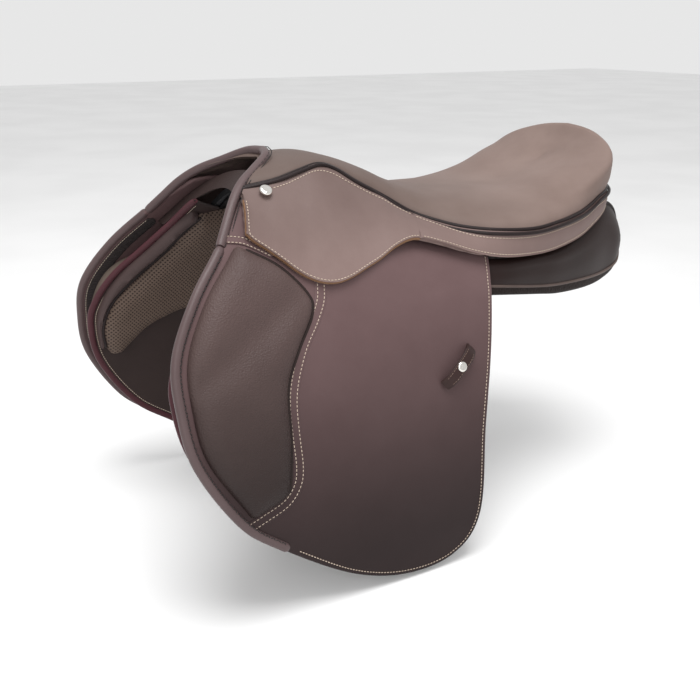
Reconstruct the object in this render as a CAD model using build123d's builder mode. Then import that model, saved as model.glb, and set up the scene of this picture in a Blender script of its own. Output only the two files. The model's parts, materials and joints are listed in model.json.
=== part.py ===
"""A close-contact English jumping saddle, modelled as the pieces a saddler would lay on the bench.

Frame: millimetres, +Z up, the pommel faces -Y and +X is the horse's left (near) side. The origin is on
the mid-plane under the deepest point of the seat, level with the lowest line of the rear panels.
Every paired piece is drawn on the left side and mirrored about the mid-plane for the right side.
Side outlines are (Y, Z) points, and cross-sections are (X, Z) points.
"""

from math import atan2, cos, hypot, radians, sin, sqrt
import os

from build123d import *

# ---------------------------------------------------------------- driving dimensions
FLAP_HALF_WIDTH = 182.0      # outer flap surface at its widest, from the mid-plane
CURVE_CENTRE_Z = -205.0      # the flap surface is an ellipse in cross-section, about this height
CURVE_RISE = 352.0           # from there to the top of the pommel
LEG_BOTTOM_Z = -300.0        # below the ellipse's centre the flaps hang straight
REACH = 260.0                # past the widest point of the saddle
FRONT_Y, REAR_Y = -400.0, 300.0
ELLIPSE_END_Y = -98.0        # behind this the surface sinks towards the waist
GAP = 0.4                    # room between sewn neighbours

LEATHER = 4.5                # flap leather
SKIRT_LEATHER = 4.0
SKIRT_LIFT = 10.0            # outer skirt surface above the outer flap surface
FOLD_Z = 48.0                # flaps fold outwards about this height
PAD_HEIGHT = 13.0            # knee pad above the flap surface
BINDING_PROUD = 2.5
BINDING_WIDTH = 7.0
POMMEL_BINDING_WIDTH = 9.0
BINDING_OUTSIDE = 6.0        # how far a binding's strip reaches past the edge that it wraps
FACING_THICK = 3.0

SWEAT_DEPTH = 26.0           # outer face of the sweat flap, inside the flap surface
SWEAT_LEATHER = 3.0
SWEAT_BINDING_WIDTH = 5.0
SHOULDER_DEPTH, SHOULDER_THICK = 29.4, 20.0
BLOCK_DEPTH, BLOCK_THICK = 7.0, 17.0

TREE_DEPTH = 17.0            # outer face of the tree's head and points, inside the flap surface
TREE_WALL = 8.0
RAIL_WALL = 9.0
PLATE_DEPTH, PLATE_WALL = 25.4, 3.0
SCREW_Y, SCREW_HEIGHTS = -169.0, (113.0, 128.0)  # heights on the flap surface above each screw
SCREW_RADIUS, SCREW_HEAD_RADIUS, SCREW_HEAD = 2.5, 4.5, 2.4
SCREW_LENGTH = 9.0
FIT = 0.05                   # radial clearance of pins, screws and rivets in their holes

BAR_RADIUS = 4.5             # stirrup bar
BAR_DEPTH = 2.0              # bar centre line, inside the flap surface
BAR_Z = 84.0                 # height of the bar on the flap surface
BAR_FRONT_Y, BAR_REAR_Y = -182.0, -116.0
BAR_PLATE = (70.0, 26.0, 3.0)
BAR_PLATE_MID_Y = -155.0
BAR_PLATE_DEPTH = 13.8
WINDOW = (124.0, 48.0, 9.0)  # opening in the flap for the bar: length, height, corner radius
WINDOW_SHIFT = (9.0, 8.0)
CATCH_LENGTH, CATCH_WIDTH, CATCH_THICK = 26.0, 7.0, 3.8
FORK_LENGTH, FORK_GAP = 10.0, 4.2
PIN_RADIUS, PIN_LENGTH, PIN_INSET = 1.5, 8.4, 5.0
RIVET_RADIUS, RIVET_HEAD_RADIUS, RIVET_HEAD, RIVET_LENGTH = 2.2, 4.2, 0.7, 9.0
RIVET_YS = (-167.0, -147.0, -127.0)

BILLET_WIDTH, BILLET_THICK = 25.0, 3.5
BILLET_TOP_Z, BILLET_END_Z, BILLET_TIP = 60.0, -188.0, 10.0
BILLETS = {"front": (-104.0, 7.5), "middle": (-72.0, 12.0), "rear": (-40.0, 16.5)}  # Y, depth
BILLET_HOLES, HOLE_PITCH, HOLE_RADIUS, FIRST_HOLE = 10, 19.0, 2.5, 26.0
WEB_WIDTH, WEB_THICK = 24.0, 2.0
WEBS = {"front": [(59, 112), (83, 90), (101, 66)],
        "middle": [(49, 103), (76, 87), (94, 73), (100, 66)],
        "rear": [(57, 88), (71, 82), (86, 74), (96, 66)]}       # (X, Z), from the tree to the billet

KEEPER_Y, KEEPER_Z, KEEPER_SLOPE = -38.0, -35.0, 39.6
KEEPER_WIDTH, KEEPER_THICK, KEEPER_ROOM = 12.0, 2.5, 5.6
KEEPER_FEET, KEEPER_BRIDGE, KEEPER_RAMP = 23.0, 11.0, 4.0
STUD_RADIUS, STUD_HEIGHT, SHANK_RADIUS, SHANK_LENGTH = 6.0, 2.6, 1.5, 3.4
KEEPER_STUD_RADIUS = 5.2
STUD_Y, STUD_Z, STUD_SEAT = -191.0, 123.0, 1.1

COVER_THICK = 2.5
WEBBING_STRIPS = ((6.0, 20.0), (-98.0, 205.0))                  # inner edge and width, then front and rear

# ---------------------------------------------------------------- side outlines, all (Y, Z)
FLAP_EDGE = [(-249, 94), (-284, 58), (-310, 16), (-314, -25), (-306, -74), (-271, -133), (-232, -166),
             (-163, -211), (-103, -230), (-49, -225), (-18, -190), (-9, -98), (10, -9), (26, 56)]
FLAP_BOUND = 6               # the rolled binding covers the edge as far as this many points
FLAP_TOP = [(-268, 48), (-240, 86), (-205, 120), (-100, 120), (-60, 100), (-40, 84), (-10, 70), (22, 61),
            (22, 48)]
POMMEL_EDGE = [(-158, 152), (-185, 146), (-222, 125), (-249, 94), (-284, 58), (-292, 48)]
FACING_EDGE = [(-162, 150), (-198, 124), (-220, 98), (-236, 79)]

PAD_FRONT = [(-238, 88), (-273, 54), (-298, 14), (-302, -25), (-295, -70), (-262, -126)]
PAD_REAR = [(-226, -112), (-220, -70), (-216, -24), (-200, 6), (-181, 32), (-180, 47), (-200, 71), (-226, 87)]

HINGE_FRONT, HINGE_REAR = (-216, 118), (-48, 86)
SKIRT_LOW = [(-216, 117), (-225, 104), (-199, 82), (-173, 61), (-154, 56), (-126, 61), (-102, 69), (-81, 78),
             (-64, 83), (-50, 85.4)]
SKIRT_TOP = [(-10, 86), (-46, 97), (-66, 112), (-99, 132), (-127, 145), (-161, 139), (-200, 134), (-214, 128)]
SKIRT_REAR = [(-48, 87), (-28, 77), (-10, 73)]

SWEAT_EDGE = [(-252, 77), (-284, 45), (-308, 10), (-312, -30), (-300, -78), (-262, -136), (-215, -172),
              (-150, -197), (-80, -202), (-35, -185), (-22, -120), (-14, -50), (-4, 10), (2, 56)]
SWEAT_BOUND = 6
SHOULDER_EDGE = [(-236, 78), (-272, 42), (-289, 0), (-287, -42), (-262, -76), (-215, -88), (-160, -80),
                 (-105, -58), (-72, -18), (-65, 30), (-65, 70)]
BLOCK_EDGE = [(-262, 40), (-288, 22), (-300, -6), (-302, -42), (-288, -80), (-262, -102), (-243, -92),
              (-252, -50), (-256, -10), (-250, 22)]
TREE_ARCH = [(-192, 62), (-187, 100), (-172, 136), (-100, 136), (-92, 62), (-150, 62), (-152, 20), (-186, 20)]
GULLET_PLATE = [(-186, 84), (-174, 130), (-152, 130), (-152, 84)]
POCKET_OUTER = [(-195, 50), (-195, 12), (-146, 12), (-146, 50)]
POCKET_INNER = [(-192.5, 51), (-192.5, 17), (-148.5, 17), (-148.5, 51)]
POCKET_DEPTH, POCKET_WALL, POCKET_BACK = 15.0, 1.6, 25.6
BAND_TOP = [(-8, 84), (30, 78), (74, 76), (111, 78), (154, 84), (192, 92), (250, 98)]
BAND_LOW = [(250, 86), (205, 80), (180, 72), (150, 63), (100, 55), (65, 54), (30, 57), (-8, 68)]

# ---------------------------------------------------------------- plans (Y, half width) and sections (X, Z)
SURFACE_HEIGHTS = (140, 112, 84, 57, 30)
WAIST_SECTIONS = {-62: [(55, 106), (84, 92), (104, 74), (121, 54), (135, 30)],
                  -40: [(68, 89), (92, 80), (108, 68), (122, 51), (135, 30)],
                  -10: [(90, 78), (105, 70), (115, 60), (125, 47), (135, 30)],
                  30: [(98, 75), (109, 68), (118, 58), (126, 46), (135, 30)],
                  70: [(98, 75), (109, 68), (118, 58), (126, 46), (135, 30)]}
# seat: Y, half width at the welt, welt height, rim half width, rim height, height on the mid-plane
SEAT_STATIONS = [(-153, 38, 138, 22, 147, 150), (-127, 42, 141, 25, 151, 155), (-99, 50, 134, 30, 146, 150),
                 (-66, 54, 117, 34, 132, 138), (-42, 65, 101, 41, 120, 127), (-10, 92, 89, 54, 110, 115),
                 (35, 119, 83, 71, 104, 108), (74, 126, 81, 83, 102, 105), (111, 124, 84, 92, 102, 106),
                 (154, 116, 90, 98, 113, 115), (186, 110, 97, 94, 126, 124), (204, 107, 101, 89, 139, 133),
                 (217, 106, 102, 86, 150, 147), (229, 105, 103, 80, 160, 161), (248, 104, 104, 78, 165, 166)]
SEAT_PLAN = [(-153, 38), (-127, 42), (-99, 50), (-66, 54), (-42, 65), (-10, 92), (35, 119), (74, 126),
             (111, 122), (154, 108), (186, 93), (210, 75), (228, 49), (238, 0)]
BAND_PLAN = [(-20, 117), (35, 127), (74, 131), (111, 128), (154, 114), (186, 99), (210, 81), (230, 54), (242, 0)]
TREE_PROFILE = [(-150, 128), (-127, 130), (-99, 124), (-66, 110), (-39, 98), (0, 86), (40, 82), (80, 81),
                (120, 84), (160, 92), (190, 104), (213, 124), (226, 146)]
TREE_PLAN = [(-150, 36), (-127, 42), (-99, 44), (-66, 45), (-39, 50), (0, 66), (40, 84), (80, 94),
             (120, 96), (160, 88), (190, 72), (212, 46), (222, 0)]
TREE_HOLE = [(-96, 0), (-84, 17), (-50, 22), (-10, 34), (40, 54), (90, 66), (130, 64), (160, 46), (174, 0)]
# panel: inner top, outer top, outer bottom, inner bottom
PANEL_SECTIONS = {-62: [(34, 84), (64, 72), (88, 22), (54, 50)],
                  -10: [(33, 72), (74, 62), (99, 14), (44, 42)],
                  30: [(32, 69), (116, 50), (124, 17), (38, 38)],
                  100: [(32, 68), (113, 48), (117, 7), (40, 27)],
                  160: [(32, 76), (103, 56), (104, -2), (42, 14)],
                  215: [(34, 90), (84, 74), (86, 0), (42, 9)],
                  258: [(44, 74), (72, 66), (72, 24), (48, 28)]}


# ---------------------------------------------------------------- shared geometry
def surface_x(z, depth=0.0):
    """Half width of the flap surface at a height, or of a layer some depth inside it."""
    rise = (z - CURVE_CENTRE_Z) / (CURVE_RISE - depth)
    return (FLAP_HALF_WIDTH - depth) * sqrt(max(0.0, 1 - rise * rise))


def layer_plane(y, z, depth):
    """A plane touching a left layer beside (y, z): its x runs rearwards, its y up, its z outwards."""
    tilt = atan2((z - CURVE_CENTRE_Z) / CURVE_RISE**2, surface_x(z) / FLAP_HALF_WIDTH**2)
    across, up = FLAP_HALF_WIDTH - depth, CURVE_RISE - depth
    size = hypot(across * cos(tilt), up * sin(tilt))
    origin = (across**2 * cos(tilt) / size, y, CURVE_CENTRE_Z + up**2 * sin(tilt) / size)
    return Plane(origin=origin, x_dir=(0, 1, 0), z_dir=(cos(tilt), 0, sin(tilt)))


def keep_layer(depth, thickness):
    """Trim the part being built to one layer of the flap surface, on both sides of the mid-plane."""
    with BuildSketch(Plane.XZ) as ring:
        for inset, mode in ((depth, Mode.ADD), (depth + thickness, Mode.SUBTRACT)):
            half, rise = FLAP_HALF_WIDTH - inset, CURVE_RISE - inset
            with BuildLine():
                EllipticalCenterArc((0, CURVE_CENTRE_Z), half, rise, 0, arc_size=180)
                Polyline((-half, CURVE_CENTRE_Z), (-half, LEG_BOTTOM_Z), (half, LEG_BOTTOM_Z),
                         (half, CURVE_CENTRE_Z))
            make_face(mode=mode)
    extrude(ring.sketch, amount=2 * REACH, both=True, mode=Mode.INTERSECT)


def offset_points(points, distance):
    """Points moved square to their line, to the left of its direction."""
    moved = []
    for before, here, after in zip([points[0]] + points[:-1], points, points[1:] + [points[-1]]):
        along = Vector(after[0] - before[0], after[1] - before[1]).normalized()
        moved.append((here[0] - along.Y * distance, here[1] + along.X * distance))
    return moved


def draw_between(first, second):
    """Add a closed face between two smooth lines that run the same way."""
    with BuildSketch() as shape:
        with BuildLine():
            Spline(*first)
            Line(first[-1], second[-1])
            Spline(*second[::-1])
            Line(second[0], first[0])
        make_face()
    add(shape.sketch)


def draw_outline(points):
    """Add a closed face with a smooth edge through the points and a straight closing side."""
    with BuildSketch() as shape:
        with BuildLine():
            Spline(*points)
            Line(points[-1], points[0])
        make_face()
    add(shape.sketch)


def draw_polygon(points):
    """Add a closed face with straight sides."""
    with BuildSketch() as shape:
        with BuildLine():
            Polyline(*points, close=True)
        make_face()
    add(shape.sketch)


def draw_strip(points, outside, inside):
    """Add a side outline along an edge, from some way outside it to some way inside it."""
    draw_between(offset_points(points, -outside), offset_points(points, inside))


def draw_plan(stations, inset=0.0):
    """Add a plan outline about the mid-plane from (Y, half width) stations, the last one on it."""
    left = [(half - inset, y) for y, half in stations[:-1]]
    rear = (0, stations[-1][0] - inset)
    right = [(-x, y) for x, y in reversed(left)]
    draw_outline([*left, rear, *right])


def upper_slab(lift, thickness):
    """Trim the part being built to a sheet over the points and waist, lifted off the flap surface."""
    ellipse = [(surface_x(z), z) for z in SURFACE_HEIGHTS]
    sections = []
    for y, points in {FRONT_Y: ellipse, ELLIPSE_END_Y: ellipse, **WAIST_SECTIONS}.items():
        with BuildSketch(Plane.XZ.offset(-y)) as section:
            draw_between(offset_points(points, lift), offset_points(points, lift - thickness))
        sections.append(section.sketch)
    loft(sections, ruled=True, mode=Mode.INTERSECT)


def screw_plane(height):
    """The seat of one gullet screw's head, on the hollow side of the gullet plate."""
    return layer_plane(SCREW_Y, height, PLATE_DEPTH + PLATE_WALL).offset(-2 * GAP)


def seat_block(shrink):
    """Add the seat's crowned body, drawn in all over by a leather's thickness or more."""
    sections = []
    for y, half, welt, rim_half, rim, centre in SEAT_STATIONS:
        half, welt, rim_half, rim = half - shrink, welt - shrink, rim_half - shrink, rim - shrink
        crown = [(half, welt), (rim_half, rim), (0, centre - shrink), (-rim_half, rim), (-half, welt)]
        with BuildSketch(Plane.XZ.offset(-y)) as section:
            draw_outline(crown)
        sections.append(section.sketch)
    loft(sections)
    with BuildSketch(Plane.XY) as plan:
        draw_plan(SEAT_PLAN, shrink)
    extrude(plan.sketch, amount=REACH, mode=Mode.INTERSECT)


def tree_sheet(lift, thickness):
    """Trim the part being built to a sheet that follows the tree's top surface."""
    top = [(y, z + lift) for y, z in TREE_PROFILE]
    with BuildSketch(Plane.YZ) as profile:
        draw_between(top, [(y, z - thickness) for y, z in top])
    extrude(profile.sketch, amount=REACH, both=True, mode=Mode.INTERSECT)


def write(part, name):
    """Label a finished piece and write it to its own file."""
    part.label = name
    export_step(part, f"parts/{name}.step")


def write_pair(part, name):
    """Write a left piece, and its mirror image as the right piece."""
    write(part, f"{name}_left")
    with BuildPart() as other_side:
        mirror(part, about=Plane.YZ)
    write(other_side.part, f"{name}_right")


os.makedirs("parts", exist_ok=True)

# ---------------------------------------------------------------- flaps, in two parts either side of the fold
with BuildPart() as flap_top:
    with BuildSketch(Plane.YZ):
        draw_polygon([(y, z + GAP) for y, z in FLAP_TOP])
    extrude(amount=REACH)
    with BuildSketch(Plane.YZ):
        draw_strip(POMMEL_EDGE, 4 * BINDING_OUTSIDE, POMMEL_BINDING_WIDTH + GAP)
    extrude(amount=REACH, mode=Mode.SUBTRACT)
    upper_slab(0, LEATHER)
    # the window that the stirrup bar and its catch stand in
    with BuildSketch(layer_plane((BAR_FRONT_Y + BAR_REAR_Y) / 2, BAR_Z, 0)):
        with Locations(WINDOW_SHIFT):
            RectangleRounded(*WINDOW)
    extrude(amount=4 * LEATHER, both=True, mode=Mode.SUBTRACT)
write_pair(flap_top.part, "flap_top")

with BuildPart() as flap:
    with BuildSketch(Plane.YZ):
        draw_outline(FLAP_EDGE)
    extrude(amount=REACH)
    with BuildSketch(Plane.YZ):
        draw_strip(FLAP_EDGE[:FLAP_BOUND], BINDING_OUTSIDE, BINDING_WIDTH + GAP)
    extrude(amount=REACH, mode=Mode.SUBTRACT)
    keep_layer(0, LEATHER)
    split(bisect_by=Plane.XY.offset(FOLD_Z - GAP), keep=Keep.BOTTOM)
write_pair(flap.part, "flap")

with BuildPart() as flap_binding:
    with BuildSketch(Plane.YZ):
        draw_outline(FLAP_EDGE)
    extrude(amount=REACH)
    with BuildSketch(Plane.YZ):
        draw_strip(FLAP_EDGE[:FLAP_BOUND], BINDING_OUTSIDE, BINDING_WIDTH)
    extrude(amount=REACH, mode=Mode.INTERSECT)
    keep_layer(-BINDING_PROUD, LEATHER + 2 * BINDING_PROUD)
    split(bisect_by=Plane.XY.offset(FOLD_Z - GAP), keep=Keep.BOTTOM)
write_pair(flap_binding.part, "flap_binding")

with BuildPart() as pommel_binding:
    with BuildSketch(Plane.YZ):
        draw_strip(POMMEL_EDGE, 0, POMMEL_BINDING_WIDTH)
    extrude(amount=REACH, both=True)
    keep_layer(-BINDING_PROUD, LEATHER + 2 * BINDING_PROUD)
    split(bisect_by=Plane.XY.offset(FOLD_Z + GAP), keep=Keep.TOP)
write(pommel_binding.part, "pommel_binding")

with BuildPart() as arch_facing:
    with BuildSketch(Plane.YZ):
        draw_strip(FACING_EDGE, 0, FACING_THICK)
    extrude(amount=REACH, both=True)
    keep_layer(LEATHER + FACING_THICK, SWEAT_DEPTH - LEATHER - 2 * FACING_THICK)
write(arch_facing.part, "arch_facing")

# ---------------------------------------------------------------- knee pads, split at the same fold
with BuildPart() as knee_pad_whole:
    with BuildSketch(Plane.YZ):
        with BuildLine():
            Spline(*PAD_FRONT)
            Line(PAD_FRONT[-1], PAD_REAR[0])
            Spline(*PAD_REAR)
            Line(PAD_REAR[-1], PAD_FRONT[0])
        make_face()
    extrude(amount=REACH)
    keep_layer(-PAD_HEIGHT, PAD_HEIGHT - GAP)

with BuildPart() as knee_pad_top:
    add(knee_pad_whole.part)
    split(bisect_by=Plane.XY.offset(FOLD_Z + GAP), keep=Keep.TOP)
write_pair(knee_pad_top.part, "knee_pad_top")

with BuildPart() as knee_pad:
    add(knee_pad_whole.part)
    split(bisect_by=Plane.XY.offset(FOLD_Z - GAP), keep=Keep.BOTTOM)
write_pair(knee_pad.part, "knee_pad")

# ---------------------------------------------------------------- skirts: a fixed top and a lifting lower part
with BuildPart() as skirt_top:
    with BuildSketch(Plane.YZ):
        with BuildLine():
            Spline(*SKIRT_TOP)
            Polyline(SKIRT_TOP[-1], (HINGE_FRONT[0], HINGE_FRONT[1] + GAP), *SKIRT_REAR, SKIRT_TOP[0])
        make_face()
    extrude(amount=REACH)
    upper_slab(SKIRT_LIFT, SKIRT_LEATHER)
    with BuildSketch(layer_plane(STUD_Y, STUD_Z, -SKIRT_LIFT)):
        Circle(SHANK_RADIUS + FIT)
    extrude(amount=2 * SKIRT_LEATHER, both=True, mode=Mode.SUBTRACT)
write_pair(skirt_top.part, "skirt_top")

with BuildPart() as skirt:
    with BuildSketch(Plane.YZ):
        with BuildLine():
            Spline(*SKIRT_LOW)
            Polyline(SKIRT_LOW[-1], (HINGE_REAR[0] - 1, HINGE_REAR[1] - GAP), SKIRT_LOW[0])
        make_face()
    extrude(amount=REACH)
    upper_slab(SKIRT_LIFT, SKIRT_LEATHER)
write_pair(skirt.part, "skirt")

with BuildPart() as pommel_studs:
    stud_plane = layer_plane(STUD_Y, STUD_Z, -SKIRT_LIFT).offset(STUD_SEAT)
    with BuildSketch(stud_plane):
        Circle(STUD_RADIUS)
    extrude(amount=STUD_HEIGHT)
    fillet(pommel_studs.edges().filter_by(GeomType.CIRCLE).sort_by(Axis.Z)[-1], STUD_HEIGHT * 0.8)
    with BuildSketch(stud_plane):
        Circle(SHANK_RADIUS)
    extrude(amount=-SHANK_LENGTH)
    mirror(about=Plane.YZ)
write(pommel_studs.part, "pommel_studs")

# ---------------------------------------------------------------- keepers for the stirrup leathers
with BuildPart() as keeper:
    flap_plane = layer_plane(KEEPER_Y, KEEPER_Z, -GAP)
    slope = radians(KEEPER_SLOPE)
    strap_plane = Plane(origin=flap_plane.origin, z_dir=flap_plane.z_dir,
                        x_dir=flap_plane.x_dir * cos(slope) + flap_plane.y_dir * sin(slope))
    upper = KEEPER_ROOM + KEEPER_THICK
    half_strap = [(KEEPER_FEET, 0), (KEEPER_BRIDGE + KEEPER_RAMP, 0), (KEEPER_BRIDGE, KEEPER_ROOM)]
    half_cover = [(KEEPER_FEET, KEEPER_THICK), (KEEPER_BRIDGE + KEEPER_RAMP + 1, KEEPER_THICK),
                  (KEEPER_BRIDGE + 1, upper)]
    section = Plane(origin=strap_plane.origin, x_dir=strap_plane.x_dir, z_dir=-strap_plane.y_dir)
    with BuildSketch(section):
        draw_polygon(half_strap + [(-x, h) for x, h in half_strap[::-1]]
                     + [(-x, h) for x, h in half_cover] + half_cover[::-1])
    extrude(amount=KEEPER_WIDTH / 2, both=True)
    with BuildSketch(strap_plane):
        Circle(SHANK_RADIUS + FIT)
    extrude(amount=2 * upper, mode=Mode.SUBTRACT)
write_pair(keeper.part, "keeper")

with BuildPart() as keeper_stud:
    with BuildSketch(strap_plane.offset(upper + FIT)):
        Circle(KEEPER_STUD_RADIUS)
    extrude(amount=STUD_HEIGHT)
    fillet(keeper_stud.edges().filter_by(GeomType.CIRCLE).sort_by(Axis.X)[-1], STUD_HEIGHT * 0.8)
    with BuildSketch(strap_plane.offset(upper + FIT)):
        Circle(SHANK_RADIUS)
    extrude(amount=-KEEPER_THICK)
write_pair(keeper_stud.part, "keeper_stud")

# ---------------------------------------------------------------- tree: rails and cantle, head and points
with BuildPart() as tree_head:
    with BuildSketch(Plane.YZ):
        draw_polygon(TREE_ARCH)
    extrude(amount=REACH)
    keep_layer(TREE_DEPTH, TREE_WALL)
    for height in SCREW_HEIGHTS:
        with BuildSketch(screw_plane(height)):
            Circle(SCREW_RADIUS + FIT)
        extrude(amount=SCREW_LENGTH + GAP, mode=Mode.SUBTRACT)
    for rivet_y in RIVET_YS:
        with BuildSketch(layer_plane(rivet_y, BAR_Z, BAR_PLATE_DEPTH)):
            Circle(RIVET_RADIUS + FIT)
        extrude(amount=2 * RIVET_LENGTH, both=True, mode=Mode.SUBTRACT)
    mirror(about=Plane.YZ)

with BuildPart() as tree_frame:
    with BuildSketch(Plane.XY):
        draw_plan(TREE_PLAN)
    extrude(amount=REACH)
    with BuildSketch(Plane.XY):
        hole = [(half, y) for y, half in TREE_HOLE]
        with BuildLine():
            Spline(*hole, *[(-x, y) for x, y in hole[-2:0:-1]], periodic=True)
        make_face()
    extrude(amount=REACH, mode=Mode.SUBTRACT)
    tree_sheet(0, RAIL_WALL)
    add(tree_head.part)
write(tree_frame.part, "tree_frame")

with BuildPart() as gullet_plate:
    with BuildSketch(Plane.YZ):
        draw_polygon(GULLET_PLATE)
    extrude(amount=REACH)
    keep_layer(PLATE_DEPTH, PLATE_WALL)
    for height in SCREW_HEIGHTS:
        with BuildSketch(screw_plane(height)):
            Circle(SCREW_RADIUS + FIT)
        extrude(amount=SCREW_LENGTH, both=True, mode=Mode.SUBTRACT)
    mirror(about=Plane.YZ)
write(gullet_plate.part, "gullet_plate")

with BuildPart() as gullet_screws:
    for height in SCREW_HEIGHTS:
        with BuildSketch(screw_plane(height)):
            Circle(SCREW_HEAD_RADIUS)
        extrude(amount=-SCREW_HEAD)
        with BuildSketch(screw_plane(height)):
            Circle(SCREW_RADIUS)
        extrude(amount=SCREW_LENGTH)
    mirror(about=Plane.YZ)
write(gullet_screws.part, "gullet_screws")

with BuildPart() as point_pocket:
    with BuildSketch(Plane.YZ):
        draw_polygon(POCKET_OUTER)
    extrude(amount=REACH)
    keep_layer(POCKET_DEPTH, POCKET_BACK - POCKET_DEPTH)
with BuildPart() as pocket_room:
    with BuildSketch(Plane.YZ):
        draw_polygon(POCKET_INNER)
    extrude(amount=REACH)
    keep_layer(POCKET_DEPTH + POCKET_WALL, TREE_WALL + SWEAT_LEATHER)
with BuildPart() as open_pocket:
    add(point_pocket.part)
    add(pocket_room.part, mode=Mode.SUBTRACT)
write_pair(open_pocket.part, "point_pocket")

# ---------------------------------------------------------------- stirrup bars with safety catches
bar_mid = layer_plane((BAR_FRONT_Y + BAR_REAR_Y) / 2, BAR_Z, BAR_DEPTH)
plate_face = layer_plane(BAR_PLATE_MID_Y, BAR_Z, BAR_PLATE_DEPTH)
bar_length = BAR_REAR_Y - BAR_FRONT_Y
bar_front = Plane(origin=bar_mid.origin - bar_mid.x_dir * bar_length / 2, x_dir=bar_mid.y_dir,
                  z_dir=bar_mid.x_dir)
pin_plane = Plane(origin=bar_mid.origin + bar_mid.x_dir * (bar_length / 2 - PIN_INSET),
                  x_dir=bar_mid.x_dir, z_dir=bar_mid.z_dir)

with BuildPart() as stirrup_bar:
    with BuildSketch(plate_face):
        RectangleRounded(BAR_PLATE[0], BAR_PLATE[1], BAR_RADIUS)
        with Locations(*[(rivet_y - BAR_PLATE_MID_Y, 0) for rivet_y in RIVET_YS]):
            Circle(RIVET_RADIUS + FIT, mode=Mode.SUBTRACT)
    extrude(amount=-BAR_PLATE[2])
    with BuildSketch(bar_front):
        Circle(BAR_RADIUS)
    extrude(amount=bar_length)
    with BuildSketch(Plane(origin=bar_front.origin, x_dir=bar_mid.x_dir, z_dir=-bar_mid.z_dir)):
        Circle(BAR_RADIUS)
    extrude(amount=BAR_PLATE_DEPTH - BAR_DEPTH)
    with Locations(bar_front):
        Sphere(BAR_RADIUS)
    with BuildSketch(pin_plane):
        with Locations((PIN_INSET - FORK_LENGTH / 2, 0)):
            Rectangle(FORK_LENGTH, 2 * BAR_RADIUS + 1)
    extrude(amount=FORK_GAP / 2, both=True, mode=Mode.SUBTRACT)
    with BuildSketch(pin_plane):
        Circle(PIN_RADIUS + FIT)
    extrude(amount=BAR_RADIUS, both=True, mode=Mode.SUBTRACT)
write_pair(stirrup_bar.part, "stirrup_bar")

with BuildPart() as bar_catch:
    with BuildSketch(pin_plane):
        with Locations((CATCH_LENGTH / 2 - CATCH_WIDTH / 2, 0)):
            SlotOverall(CATCH_LENGTH, CATCH_WIDTH)
        Circle(PIN_RADIUS + FIT, mode=Mode.SUBTRACT)
    extrude(amount=CATCH_THICK / 2, both=True)
write_pair(bar_catch.part, "bar_catch")

with BuildPart() as catch_pins:
    with BuildSketch(pin_plane):
        Circle(PIN_RADIUS)
    extrude(amount=PIN_LENGTH / 2, both=True)
    mirror(about=Plane.YZ)
write(catch_pins.part, "catch_pins")

with BuildPart() as bar_rivets:
    for rivet_y in RIVET_YS:
        head_plane = layer_plane(rivet_y, BAR_Z, BAR_PLATE_DEPTH).offset(FIT)
        with BuildSketch(head_plane):
            Circle(RIVET_HEAD_RADIUS)
        extrude(amount=RIVET_HEAD)
        with BuildSketch(head_plane):
            Circle(RIVET_RADIUS)
        extrude(amount=-RIVET_LENGTH)
    mirror(about=Plane.YZ)
write(bar_rivets.part, "bar_rivets")

# ---------------------------------------------------------------- billets, and the webs that carry them
for place, (billet_y, depth) in BILLETS.items():
    with BuildPart() as billet:
        with BuildSketch(Plane.YZ):
            low = BILLET_END_Z + BILLET_TIP
            half = BILLET_WIDTH / 2
            draw_polygon([(billet_y - half, BILLET_TOP_Z), (billet_y - half, low), (billet_y, BILLET_END_Z),
                          (billet_y + half, low), (billet_y + half, BILLET_TOP_Z)])
        extrude(amount=REACH)
        keep_layer(depth, BILLET_THICK)
        with BuildSketch(Plane.YZ):
            hole_heights = [BILLET_END_Z + FIRST_HOLE + i * HOLE_PITCH for i in range(BILLET_HOLES)]
            with Locations(*[(billet_y, height) for height in hole_heights]):
                Circle(HOLE_RADIUS)
        extrude(amount=REACH, mode=Mode.SUBTRACT)
    write_pair(billet.part, f"billet_{place}")

with BuildPart() as girth_webs:
    for place, (billet_y, depth) in BILLETS.items():
        with BuildSketch(Plane.XZ.offset(-billet_y)):
            draw_between(WEBS[place], offset_points(WEBS[place], -WEB_THICK))
        extrude(amount=WEB_WIDTH / 2, both=True)
write_pair(girth_webs.part, "girth_webs")

# ---------------------------------------------------------------- seat: webbing, foam and leather cover
with BuildPart() as seat_webbing:
    (web_inner, web_width), (web_front, web_rear) = WEBBING_STRIPS
    with BuildSketch(Plane.XY):
        with Locations(*[(side * (web_inner + web_width / 2), (web_front + web_rear) / 2) for side in (-1, 1)]):
            Rectangle(web_width, web_rear - web_front)
    extrude(amount=REACH)
    tree_sheet(WEB_THICK + GAP, WEB_THICK)
write(seat_webbing.part, "seat_webbing")

with BuildPart() as seat_core:
    seat_block(COVER_THICK)

with BuildPart() as seat_cover:
    seat_block(0)
    add(seat_core.part, mode=Mode.SUBTRACT)
write(seat_cover.part, "seat_cover")

with BuildPart() as seat_foam:
    seat_block(COVER_THICK + GAP)
    with BuildSketch(Plane.YZ):
        foam_floor = [(y, z + WEB_THICK + 2 * GAP) for y, z in TREE_PROFILE]
        with BuildLine():
            Spline(*foam_floor)
            Polyline(foam_floor[-1], (REAR_Y, foam_floor[-1][1]), (REAR_Y, REACH), (FRONT_Y, REACH),
                     (FRONT_Y, foam_floor[0][1]), foam_floor[0])
        make_face()
    extrude(amount=REACH, both=True, mode=Mode.INTERSECT)
write(seat_foam.part, "seat_foam")

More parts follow.
